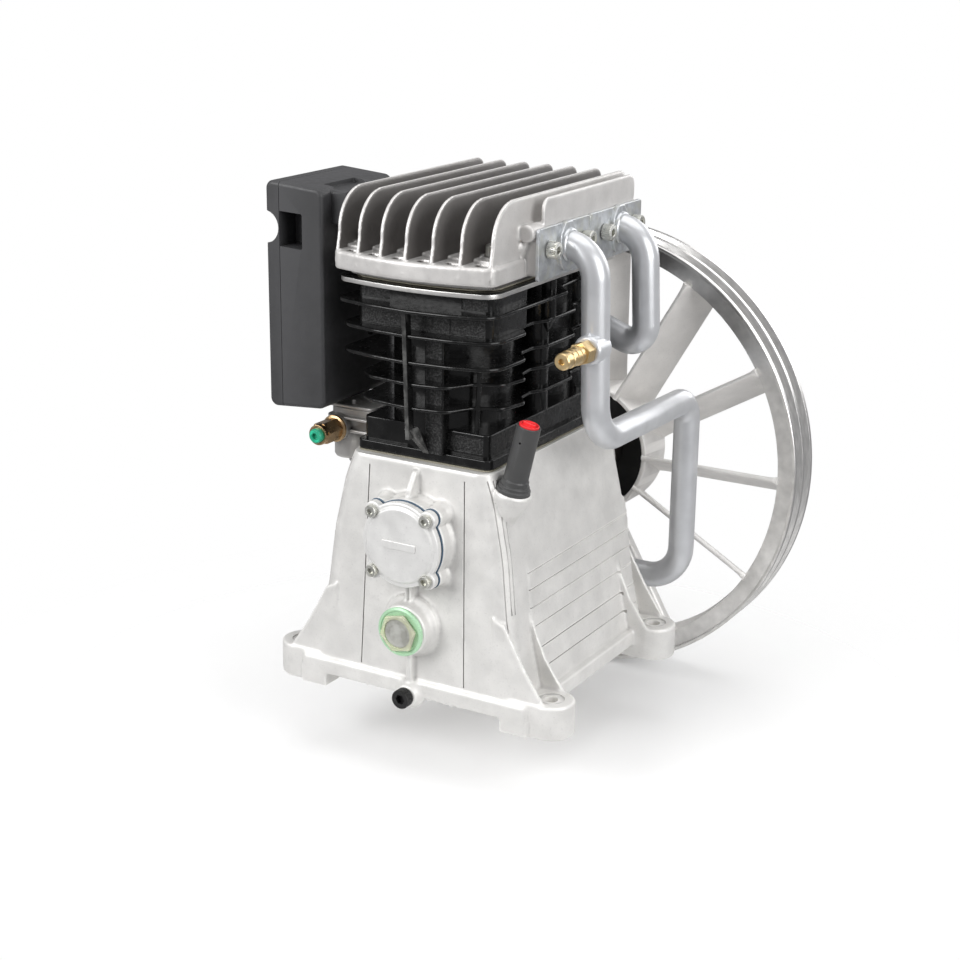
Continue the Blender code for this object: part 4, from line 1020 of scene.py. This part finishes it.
def build_bearing_housing():
    low, high = span("bearing_housing")
    flange = 54.0
    profile = [(44.0, low.y), (44.0, 110.3), (flange, 110.3), (flange, 117.0), (47.0, 121.0), (41.0, 150.0),
               (38.0, high.y), (30.4, high.y), (30.4, 155.5), (27.0, 155.5), (27.0, 128.0), (34.0, 122.6),
               (40.5, 122.6), (40.5, low.y)]
    housing = make("rear_bearing_housing", turned(profile, (0, 0, AXIS_Z), "Y", 96, 1.2))
    places = circle(49.0, 4, (0, AXIS_Z), math.radians(45))
    cut(housing, [peg(3.0, 105, 125, p, "Y", 24) for p in places]
        + [peg(5.6, 117.0, 135, p, "Y", 32) for p in places])
    fit(housing, CASE, "root", "bearing_housing")
    for number, (x, z) in enumerate(places, 1):
        bolt(f"housing_cap_screw_{number}", f"housing_screw_{number}", (x, 121.9, z), (0, 1, 0), (4.6, 4.5),
             (2.5, 15.0), 2.2, 24)


def dress_inner_parts():
    """Better finishes for the CAD nodes that stay."""
    looks = {
        "crankshaft": FORGED, "shaft_seal": RUBBER, "base_gasket": PAPER, "head_gasket": PAPER,
        "filter_element": felt(),
    }
    for end in ("front", "rear"):
        looks.update({f"{end}_bearing": GROUND, f"{end}_connecting_rod": CASE, f"{end}_wrist_pin": GROUND,
                      f"{end}_piston": EDGE, f"{end}_reed_valve": SPRING})
    for node, material in looks.items():
        mesh = frame["nodes"][node].data
        mesh.materials.clear()
        mesh.materials.append(material)


# -------------------------------------------------------- cylinders and head

def bulged(half, front, bulge, rear, corner, count=16):
    """A plate's outline whose front edge bows forward between round corners."""
    outline = []
    span_x = half - corner
    for i in range(count + 1):
        x = -span_x + 2 * span_x * i / count
        outline.append((x, front - bulge * (1 - (x / half) ** 2)))
    ends = bulge * (1 - (span_x / half) ** 2)
    outline += arc((half - corner, front - ends + corner), corner, -75, 0, 6)
    outline += arc((half - corner, rear - corner), corner, 0, 90, 6)
    outline += arc((-half + corner, rear - corner), corner, 90, 180, 6)
    outline += arc((-half + corner, front - ends + corner), corner, 180, 255, 6)
    return outline


def rounded_run(corners, radii, steps=7):
    """A closed outline whose corners each have their own radius."""
    closed = [corners[-1]] + corners + [corners[0]]
    run = fillet([Vector((x, y, 0.0)) for x, y in closed], radii, steps)
    return [(p.x, p.y) for p in run[1:-1]]


FIN_REAR = [(51, 74), (34, 90), (-34, 90), (-51, 74)]


def top_fin():
    """The uppermost fin is wide as far as the second cylinder."""
    front = BLOCK_LOW.y + 6.0
    corners = [(-69, front), (-34, front - 8.0), (0, front - 11.0), (34, front - 8.0), (69, front), (69, 8),
               (55, 24), *FIN_REAR, (-51, 22), (-69, 2)]
    return rounded_run(corners, [13, 60, 60, 60, 17, 8, 8, 8, 8, 8, 8, 8, 8])


def wide_fin():
    """A fin that is wide round the first cylinder and has a smaller wing at the second."""
    front = BLOCK_LOW.y + 11.0
    corners = [(-69, front), (-34, front - 7.5), (0, front - 10.5), (34, front - 7.5), (69, front + 1), (69, -58),
               (56, -42), (56, -22), (62, -10), (62, 36), (51, 50), *FIN_REAR, (-51, 22), (-69, 2)]
    return rounded_run(corners, [16, 60, 60, 60, 20, 9, 8, 8, 8, 8, 8, 8, 8, 8, 8, 8, 8])


def narrow_fin():
    """A lower fin: its front edge swings back and meets a small wing at the right corner."""
    front = BLOCK_LOW.y + 5.0
    corners = [(-52, front + 12), (-38, front + 2), (3, front - 3), (29, front + 1), (40, front + 22),
               (50, front + 28), (61, front + 32), (66, -52), (56, -40), (54, -22), (60, -10), (60, 36),
               (51, 50), *FIN_REAR, (-51, 22), (-58, -40)]
    return rounded_run(corners, [8, 12, 40, 14, 9, 6, 10, 7, 8, 8, 8, 8, 8, 8, 8, 8, 8, 8, 8])


def build_block():
    low = BLOCK_LOW
    front = low.y + 20.0
    wall = front - 3.0
    block = make("cylinder_block_casting", plate(rounded(-60, 60, front, 92, 6), low.z, 209.0, edge=0.9), 40)
    parts = [plate(rounded(-56, 56, front + 4.5, 87, 5), 208.0, 227.2, edge=1.2)]
    parts += [peg(47.5, 205.0, 333.0, centre, "Z", 64) for centre in (FRONT_CYLINDER, REAR_CYLINDER)]
    for x, y, r in ((46, 0, 10), (-46, 0, 10), (42, 74, 9), (-42, 74, 9)):
        parts.append(peg(r, 205.0, 333.0, (x, y), "Z", 24))
    for x, y, r in ((55, 0, 7), (-55, 0, 7), (55, 78, 7), (-55, 78, 7), (-55, -82, 6)):
        parts.append(stepped([(1.5, 290.0), (r, 300.0), (r, 333.0)], (x, y), "Z", 24))
    parts.append(plate(rounded(-56, 61, wall, -40, 5), 302.0, PLATE_LOW.z - 0.6, edge=0.8))
    parts.append(plate(rounded(4.0, 20.5, wall, -60, 1.5), 208.0, 304.0, edge=0.6))
    for z in (245.5, 264.0):
        parts.append(plate(narrow_fin(), z - 1.5, z + 1.5, edge=1.2))
    for z in (281.0, 301.0):
        parts.append(plate(wide_fin(), z - 1.5, z + 1.5, edge=1.2))
    parts.append(plate(top_fin(), 319.5, 322.5, edge=1.2))
    rib = [(-5.4, 322.0), (-2.0, 322.0), (1.4, 222.0), (-1.8, 222.0)]
    parts.append(prism(rib, front - 20.5, front - 13.0, "Y"))
    parts.append(loft([[Vector((x, y, 230.0)) for x, y in rectangle(-3.2, 2.6, front - 20.3, front - 10.0)],
                       [Vector((x, y, 208.0)) for x, y in rectangle(3.0, 8.5, front - 3.0, front + 7.0)]]))
    parts.append(swept([Vector(q) for q in ((42, -84, 208), (43, -85, 240), (44, -83, 282))], 2.0, 10))
    join(block, parts, 40)
    sunk = [(-52.5, -18.0, 303.5, 318.5), (26.0, 56.5, 303.5, 318.5), (-52.5, -26.5, 323.5, 332.5),
            (36.0, 58.0, 323.5, 332.5)]
    tools = [plate(rectangle(*box), wall - 8.0, wall + 0.9, "Y", 0.4) for box in sunk]
    tools.append(plate(rectangle(13.0, 51.5, 211.0, 224.5), front + 2.0, front + 6.4, "Y", 0.4))
    tools += [peg(BORE_R, 180, 340, FRONT_CYLINDER, "Z", 64),
              peg(BORE_R, 180, PLUNGER_BORE_Z, REAR_CYLINDER, "Z", 64),
              peg(PLUNGER_BORE_R, 300, 340, REAR_CYLINDER, "Z", 64)]
    cut(block, tools, 40)
    fit(block, BLACK, "root", "cylinder_block")

    def recessed(middle, normal):
        """The lug's front and the floors of the sunk patches."""
        lug = abs(middle.y - wall) < 0.1 and 4 < middle.x < 20.5
        floor = abs(middle.y - wall - 0.9) < 0.1 or abs(middle.y - front - 6.4) < 0.1
        return normal.y < -0.9 and middle.z < 333 and (lug or floor)

    patch(block, ROUGH, recessed)


def build_valve_plate():
    low, high = PLATE_LOW.z, PLATE_HIGH.z
    outline = bulged(69, PLATE_LOW.y + 10.0, 10, PLATE_HIGH.y, 14, 24)
    body = make("valve_plate_machined", plate(outline, low, high, edge=0.5, steps=2))
    fit(body, BLACK, "root", "valve_plate", slot="plate_steel")
    patch(body, EDGE, lambda middle, normal: abs(normal.z) < 0.8)


def head_front(x):
    return -111.0 - 12.0 * (1 - (x / 70.0) ** 2)


def head_fin(x, thick):
    """One upright cooling fin with a large round front shoulder."""
    front = head_front(x) + 0.8
    top = HEAD_HIGH.z
    outline = [(front, 350.0)]
    outline += arc((front + 36.0, top - 31.0), 31.0, 182, 90, 14)
    outline += arc((97.0, top - 10.0), 10.0, 90, 0, 6)
    outline += [(108.0, 350.0)]
    loops = []
    for side, tuck in ((-0.5, 0.8), (-0.32, 0.0), (0.32, 0.0), (0.5, 0.8)):
        loops.append([Vector((x + thick * side, y, z)) for y, z in inset(outline, tuck)])
    return loft(loops)


def head_base():
    """The head's base plate, stepped at the bottom and slotted between the fins."""
    shelf = plate(bulged(70.0, -109.5, 12.5, 109.0, 9.0, 28), 344.5, 358.6, edge=1.6)
    slots = []
    for i in range(-3, 3):
        x = i * FIN_PITCH
        front = head_front(x + 14) + 8.0
        slots.append(prism(rectangle(x + 7.5, x + 20.0, front, front + 7.5), 351.0, 366.0))
        rear = 96.0
        slots.append(prism(rectangle(x + 5.0, x + 17.0, rear, rear + 6.0), 351.0, 366.0))
    return trimmed(shelf, slots)


def port_block():
    """Cast lugs on the head's right side that carry the flange plates."""
    far = FRONT_PLATE_LOW.x - 0.3
    parts = [plate(rectangle(58.0, far, 346.0, 382.0), -64.0, 101.0, "Y", 1.4)]
    fin = smooth_loop([(-54.0, 378.0), (-54.0, 403.0), (98.0, 403.0), (98.0, 378.0)], 9.0)
    parts.append(plate(fin, far - 3.0, far, "X", 1.0))
    parts.append(peg(5.4, -70.0, -50.0, (64.5, 368.0), "Y", 28, 1.4))
    parts.append(peg(6.6, -71.0, -50.0, (73.6, 378.5), "Y", 28, 1.4))
    hook = [(x, -66, z) for x, z in ((60, 358), (67, 359), (69.5, 366), (72, 374), (73.6, 378))]
    parts.append(swept(fillet(hook, 3.0), 2.1, 12))
    return parts


def build_head():
    parts = [head_base(), plate(bulged(64, -100, 9, 102, 12, 20), HEAD_LOW.z, 346.0, edge=0.8)]
    for i in range(-3, 4):
        parts.append(head_fin(i * FIN_PITCH, 3.5))
    parts.append(prism(rectangle(-63, 62, -62, 62), 357.0, 374.0))
    parts.append(prism(rectangle(-68, 68, -98, 100), 350.0, 361.0))
    parts += port_block()
    short = smooth_loop([(12.0, 350.0), (12.0, 398.0), (92.0, 398.0), (92.0, 350.0)], 8.0)
    parts.append(plate(short, -78.6, -75.6, "X", 1.0))
    parts.append(prism(rectangle(-79.0, -60.0, 10.0, 96.0), 348.0, 360.0))
    parts.append(plate(rounded(-79, -29, 350.5, 377.5, 4), HEAD_LOW.x, -60.0, "X", 1.2))
    for i in range(3):
        u = 20.0 + 9.0 * i
        parts.append(peg(3.0, 356.0, 396.0, (-71.0, u), "Z", 16))
    for x, y in bolt_places():
        parts.append(peg(10.5, 350.0, 362.2, (x, y), "Z", 28))
    parts.append(peg(4.2, -101.0, -90.0, (40.0, 368.0), "Y", 20, 1.2))
    head = cast("cylinder_head_casting", parts, HEAD_VOXEL, 3)
    tools = []
    for x, y in bolt_places():
        tools.append(peg(8.4, 362.3, 420.0, (x, y), "Z", 32))
    tools.append(prism(rectangle(FRONT_PLATE_LOW.x - 0.3, 130.0, -120.0, 140.0), 330.0, 384.0))
    cut(head, tools, 45)
    fit(head, HEAD, "root", "cylinder_head")


def bolt_places():
    return [(x, y) for y in (-82.0, 0.0, 78.0) for x in (-55.0, 55.0)]


def build_head_bolts():
    for number, (x, y) in enumerate(bolt_places(), 1):
        bolt(f"head_cap_screw_{number}", f"head_bolt_{number}", (x, y, 370.6), (0, 0, 1), (7.4, 8.0),
             (3.9, 44.0), 3.6, 26)


# -------------------------------------------------------------- intercooler

def build_flange_plate(name, node, low, high, tube_y, taper):
    """A zinc plate with an oval clamp round its tube."""
    top, base = high.z, low.z
    if taper:
        corners = [(low.y, base + 10), (low.y + 13, base), (high.y - 13, base), (high.y, base + 10),
                   (high.y, top), (low.y, top)]
    else:
        corners = [(low.y, base), (high.y, base), (high.y, top), (low.y, top)]
    body = make(name, plate(smooth_loop(corners, 2.6), low.x, low.x + 2.6, "X", 0.5))
    oval = smooth_loop([(tube_y - 13.5, PORT_Z - 10), (tube_y - 7, PORT_Z - 19), (tube_y + 7, PORT_Z - 19),
                        (tube_y + 13.5, PORT_Z - 10), (tube_y + 13.5, PORT_Z + 8), (tube_y + 5, PORT_Z + 18),
                        (tube_y - 5, PORT_Z + 18), (tube_y - 13.5, PORT_Z + 8)], 5.0)
    join(body, [plate(oval, low.x + 1.0, low.x + 5.4, "X", 1.0)])
    cut(body, [peg(TUBE_R - 1.5, low.x - 5, low.x + 20, (tube_y, PORT_Z), "X", 48)])
    fit(body, ZINC, "root", node)


def build_flange_bolts():
    for number in range(1, 5):
        low, high = span(f"flange_bolt_{number}")
        y = (low.y + high.y) / 2
        bolt(f"flange_cap_screw_{number}", f"flange_bolt_{number}", (high.x, y, PORT_Z), (1, 0, 0), (6.5, 7.6),
             (3.9, 16.0), 3.2, 28)


def build_tube():
    start = FRONT_PLATE_LOW.x + 1.2
    front_line, rear_line = TUBE_YS
    back = TUBE_HIGH.y - TUBE_R - 1.0
    left = TUBE_LOW.x + TUBE_R
    corners = [(start, front_line, PORT_Z), (TUBE_X - 3.5, front_line, PORT_Z + 1.0),
               (TUBE_X + 1.0, front_line, 214.5), (TUBE_X, back + 2.0, 210.0), (TUBE_X, back + 2.0, 46.0),
               (left, back + 1, 45.0), (left, back, 271.0), (30.0, 132.0, 274.0), (70.0, rear_line + 3.0, 283.0),
               (TUBE_X, rear_line, 269.0), (TUBE_X - 5.0, rear_line, PORT_Z + 1.0),
               (start, rear_line, PORT_Z)]
    bends = [26.0, 32.0, 20.0, 31.0, 22.0, 22.0, 18.0, 16.0, 17.0, 26.0]
    path = fillet(corners, bends, 12)
    tube = make("cooling_tube", swept(path, TUBE_R, 40, TUBE_R - 2.0), 40)
    boss = [(11.6, front_line + 2), (11.6, -39.5), (10.6, -41.2), (9.6, -41.8)]
    join(tube, [stepped(boss, (TUBE_X, VALVE_Z), "Y", 40, 0.6)])
    fit(tube, TUBE, "root", "intercooler_tube")
    for number, y in enumerate(TUBE_YS, 1):
        seat = turned([(TUBE_R - 0.3, start + 4.0), (TUBE_R + 2.2, start + 4.0), (TUBE_R + 1.2, start + 6.4),
                       (TUBE_R - 0.3, start + 7.6)], (0, y, PORT_Z), "X", 48, 0.6)
        weld = make(f"tube_weld_{number}", seat)
        fit(weld, ZINC, "root", slot="silver_paint")


def build_safety_valve():
    spot = (TUBE_X, VALVE_Z)
    face = -42.0
    hexagon = circle(9.3, 6, spot, math.radians(20))
    body = make("relief_valve_body", plate(hexagon, face - 11.0, face, "Y", 0.7), 30)
    steps = [(6.9, face - 8)]
    for groove in (17.0, 23.4):
        steps += [(6.9, face - groove), (6.5, face - groove - 0.3), (6.5, face - groove - 1.3),
                  (6.9, face - groove - 1.6)]
    steps += [(6.9, face - 29.4), (6.3, face - 30.0)]
    join(body, [stepped(steps, spot, "Y", 48), peg(4.2, face - 4, face + 12, spot, "Y", 32)], 30)
    cut(body, [peg(2.6, face - 35, face - 4, spot, "Y", 32)], 30)
    fit(body, BRASS, "root", "safety_valve_body")
    low = span("safety_valve_stem")[0]
    tip = [(2.2, face - 8), (2.2, face - 30.5), (6.3, face - 30.5), (6.5, face - 31.2), (6.5, low.y + 1.0),
           (5.6, low.y)]
    stem = make("relief_valve_stem", stepped(tip, spot, "Y", 40), 30)
    cut(stem, [peg(2.5, low.y - 2, low.y + 3.6, spot, "Y", 32)], 30)
    fit(stem, BRASS, "valve_stem", "safety_valve_stem")


# --------------------------------------------------------- filter and outlet

def filter_shape(low_x, high_x):
    """The filter box's front outline; its height shrinks a little towards the head."""
    slope = 0.08
    rise = slope * (high_x - low_x)
    base, top = FILTER_COVER_LOW.z, FILTER_COVER_HIGH.z
    return smooth_loop([(low_x, base), (high_x, base + rise), (high_x, top - rise), (low_x, top)], 6.5, 10)


def build_filter():
    low_y, high_y = FILTER_LOW.y, FILTER_HIGH.y
    left, seam, right = FILTER_COVER_LOW.x, FILTER_COVER_HIGH.x, -83.6
    notch_low, notch_high = 355.0, 382.0
    outline = filter_shape(left, right)
    wide_y = (low_y - 9.0, high_y + 9.0)
    wide_z = (FILTER_COVER_LOW.z - 9.0, FILTER_COVER_HIGH.z + 9.0)
    shell = make("filter_box", plate(outline, low_y, high_y, "Y", 3.0, 6), 30)
    cut(shell, [prism(rectangle(left - 9.0, seam + 0.35, *wide_z), *wide_y, "Y")], 30)
    join(shell, [plate(rectangle(-88.0, -69.5, 373.0, 399.0), low_y + 13, high_y - 16, "Y", 2.0),
                 plate(rectangle(-88.0, HEAD_LOW.x - 0.4, 352.0, 376.0), -76.0, -34.0, "Y", 2.0)], 30)
    slot_top = plate(rounded(-96.0, -60.0, -84.0, -42.0, 2.0), 398.0, 412.0, "Z", 0.8)
    hollow = plate(smooth_loop([(seam - 6, notch_low), (-102.0, notch_low - 1.5), (-102.0, notch_high - 1.0),
                                (seam - 6, notch_high)], 1.6), low_y - 12, low_y + 21, "Y", 0.8)
    hole = peg(4.4, low_y + 12, low_y + 44, (-105.2, 370.6), "Y", 32)
    inner = prism(rectangle(seam - 3, -87.5, 234.0, 348.0), low_y + 6, high_y - 6, "Y")
    cut(shell, [slot_top, hollow, hole, inner], 30)
    fit(shell, FILTER, "root", "filter_housing")
    lid = make("filter_lid", plate(outline, low_y, high_y, "Y", 3.0, 6), 30)
    middle = (notch_low + notch_high) / 2
    bite = arc((seam - 13.6, middle), 12.8, 88, -88, 14)
    mouth = [(left - 8, notch_high + 2.0), (left + 1.5, notch_high)] + bite + [(left + 1.5, notch_low),
                                                                             (left - 8, notch_low - 2.0)]
    cut(lid, [prism(rectangle(seam - 0.1, right + 9.0, *wide_z), *wide_y, "Y"), prism(mouth, *wide_y, "Y"),
              prism(rectangle(seam - 4.0, seam + 3.0, 238.0, 346.0), low_y + 8, high_y - 8, "Y")], 30)
    fit(lid, FILTER, "filter_cover", "filter_cover")


def build_outlet():
    low, high = OUTLET_LOW, OUTLET_HIGH
    x = (FITTING_LOW.x + FITTING_HIGH.x) / 2
    z = (FITTING_LOW.z + FITTING_HIGH.z) / 2
    front = FITTING_LOW.y
    near = front + 25.0
    body = make("delivery_block", plate(rounded(low.x + 3, high.x, low.y + 1, high.y - 2, 4), 204.0, 222.0,
                                        edge=1.2), 40)
    parts = [plate(rounded(low.x, high.x, low.y - 3, high.y, 6), level, level + 2.6, edge=0.9)
             for level in (203.0, 213.0, 223.0)]
    parts.append(peg(11.0, near, near + 24, (x, z), "Y", 40, 0.8))
    parts.append(stepped([(9.0, low.z), (11.0, low.z + 2), (11.0, 204.0)], (-88.5, -44.0), "Z", 40, 0.8))
    parts.append(peg(13.0, 186.0, 190.0, (-88.5, -44.0), "Z", 40, 0.6))
    parts.append(stepped([(12.4, 181.0), (13.6, 183.0), (13.6, 196.0), (12.0, 204.0)], (-91.0, -56.0), "Z",
                         40, 0.8))
    parts.append(stepped([(2.4, 222.0), (1.6, 229.0)], (-84.0, low.y + 4), "Z", 20))
    join(body, parts, 40)
    cut(body, [peg(5.2, near - 5, near + 32, (x, z), "Y", 32)], 40)
    fit(body, DELIVERY, "root", "outlet_manifold")
    steps = [(5.0, near + 24), (5.0, near - 0.2), (11.0, near - 0.2), (11.0, near - 2.2), (9.0, near - 2.8)]
    fitting = make("delivery_fitting", stepped(steps, (x, z), "Y", 48, 0.4), 30)
    hexagon = circle(9.6, 6, (x, z), math.radians(10))
    join(fitting, [plate(hexagon, front + 4.0, near - 2.6, "Y", 0.6),
                   stepped([(8.2, front), (8.5, front + 5.0)], (x, z), "Y", 48, 0.4)], 30)
    cut(fitting, [peg(6.2, front - 5, front + 18, (x, z), "Y", 48),
                  peg(4.0, front + 12, near + 30, (x, z), "Y", 32)], 30)
    fit(fitting, DARK_BRASS, "root", "outlet_fitting")
    plug_low = span("outlet_plug")[0]
    cap = stepped([(4.0, front + 11), (5.0, front + 8), (5.9, front + 7), (5.9, front + 0.6),
                   (5.9, plug_low.y + 1.2), (5.1, plug_low.y)], (x, z), "Y", 48, 0.4)
    plug = make("transport_plug", cap, 30)
    cut(plug, [plate(circle(2.8, 6, (x, z)), plug_low.y - 3, plug_low.y + 2.4, "Y", 0.3)], 30)
    fit(plug, GREEN, "outlet_plug", "outlet_plug")


# ----------------------------------------------------- stage, light, camera

def build_stage():
    """A plain pale floor just under the flywheel."""
    level = WHEEL_LOW.z - FLOOR_GAP
    bm = bmesh.new()
    corners = rectangle(-BACKDROP, BACKDROP, -BACKDROP, BACKDROP)
    bm.faces.new([bm.verts.new((x, y, level)) for x, y in corners])
    floor = make("floor", bm)
    f = Finish("floor_paper", 0.85, 0.0)
    f.color(f.mix(f.ramp(f.noise(300, 2), 0.3, 0.7), (0.9, 0.9, 0.9), (0.93, 0.93, 0.93)))
    f.bump(f.noise(3, 2), 0.02)
    fade(f)
    floor.data.materials.append(f.material)


def fade(finish):
    """Let the floor thin out into the white room well outside the object."""
    tree = finish.tree
    away = tree.nodes.new("ShaderNodeVectorMath")
    away.operation = "LENGTH"
    finish.link(finish.where, away.inputs[0])
    share = finish.ramp(away.outputs["Value"], 0.12, 0.5)
    clear = tree.nodes.new("ShaderNodeBsdfTransparent")
    mixer = tree.nodes.new("ShaderNodeMixShader")
    finish.link(share, mixer.inputs["Fac"])
    finish.link(finish.shader.outputs["BSDF"], mixer.inputs[1])
    finish.link(clear.outputs["BSDF"], mixer.inputs[2])
    finish.link(mixer.outputs["Shader"], tree.nodes["Material Output"].inputs["Surface"])


def area_light(name, place, target, size, power):
    lamp = bpy.data.lights.new(name, "AREA")
    lamp.shape = "RECTANGLE"
    lamp.size, lamp.size_y = size
    lamp.energy = power
    obj = bpy.data.objects.new(name, lamp)
    obj.location = place
    aim = Vector(target) - Vector(place)
    obj.rotation_euler = aim.to_track_quat("-Z", "Y").to_euler()
    bpy.context.scene.collection.objects.link(obj)


def build_light():
    """A white studio: the camera sees pure white, the object is lit by soft boxes and a grey room."""
    for lamp in SOFT_BOXES:
        area_light(*lamp)
    world = bpy.data.worlds.new("studio")
    bpy.context.scene.world = world
    world.use_nodes = True
    tree = world.node_tree
    tree.nodes.clear()
    new, link = tree.nodes.new, tree.links.new
    seen = new("ShaderNodeBackground")
    seen.inputs["Color"].default_value = (1, 1, 1, 1)
    seen.inputs["Strength"].default_value = 1.0
    room = new("ShaderNodeBackground")
    room.inputs["Strength"].default_value = ROOM_STRENGTH
    split = new("ShaderNodeSeparateXYZ")
    link(new("ShaderNodeTexCoord").outputs["Generated"], split.inputs["Vector"])
    shift = new("ShaderNodeMath")
    shift.operation = "MULTIPLY_ADD"
    shift.inputs[1].default_value = shift.inputs[2].default_value = 0.5
    link(split.outputs["Z"], shift.inputs[0])
    ramp = new("ShaderNodeValToRGB")
    stops = ramp.color_ramp.elements
    stops[0].position, stops[0].color = 0.0, (0.85, 0.85, 0.85, 1)
    stops[1].position, stops[1].color = 0.55, (0.62, 0.62, 0.64, 1)
    stops.new(1.0).color = (1, 1, 1, 1)
    link(shift.outputs[0], ramp.inputs["Fac"])
    link(ramp.outputs["Color"], room.inputs["Color"])
    blend = new("ShaderNodeMixShader")
    link(new("ShaderNodeLightPath").outputs["Is Camera Ray"], blend.inputs["Fac"])
    link(room.outputs["Background"], blend.inputs[1])
    link(seen.outputs["Background"], blend.inputs[2])
    link(blend.outputs["Shader"], new("ShaderNodeOutputWorld").inputs["Surface"])
    bpy.context.scene.view_settings.view_transform = "Standard"
    bpy.context.scene.view_settings.look = "None"


def build_camera():
    """From the front right and a little above."""
    azimuth, elevation, roll = (math.radians(angle) for angle in VIEW_DEGREES)
    back = Vector((math.sin(azimuth) * math.cos(elevation), -math.cos(azimuth) * math.cos(elevation),
                   math.sin(elevation)))
    right = Vector((math.cos(azimuth), math.sin(azimuth), 0))
    up = back.cross(right)
    across = math.cos(roll) * right + math.sin(roll) * up
    upright = math.cos(roll) * up - math.sin(roll) * right
    lens = bpy.data.cameras.new("camera")
    lens.lens, lens.sensor_width, lens.clip_end = LENS_MM, SENSOR_MM, FAR_CLIP
    camera = bpy.data.objects.new("camera", lens)
    matrix = Matrix((across, upright, back)).transposed().to_4x4()
    matrix.translation = Vector(CAMERA_PLACE)
    camera.matrix_world = matrix
    bpy.context.scene.collection.objects.link(camera)
    bpy.context.scene.camera = camera


for build in (build_crankcase, build_front_cover, build_sight_glass, build_drain_plug, build_oil_filler,
              build_flywheel, build_shaft_end, build_bearing_housing, build_block, build_valve_plate, build_head,
              build_head_bolts):
    build()
build_flange_plate("front_flange", "flange_plate_front", FRONT_PLATE_LOW, FRONT_PLATE_HIGH, TUBE_YS[0], False)
build_flange_plate("rear_flange", "flange_plate_rear", REAR_PLATE_LOW, REAR_PLATE_HIGH, TUBE_YS[1], True)
for build in (build_flange_bolts, build_tube, build_safety_valve, build_filter, build_outlet, dress_inner_parts,
              build_stage, build_light, build_camera):
    build()
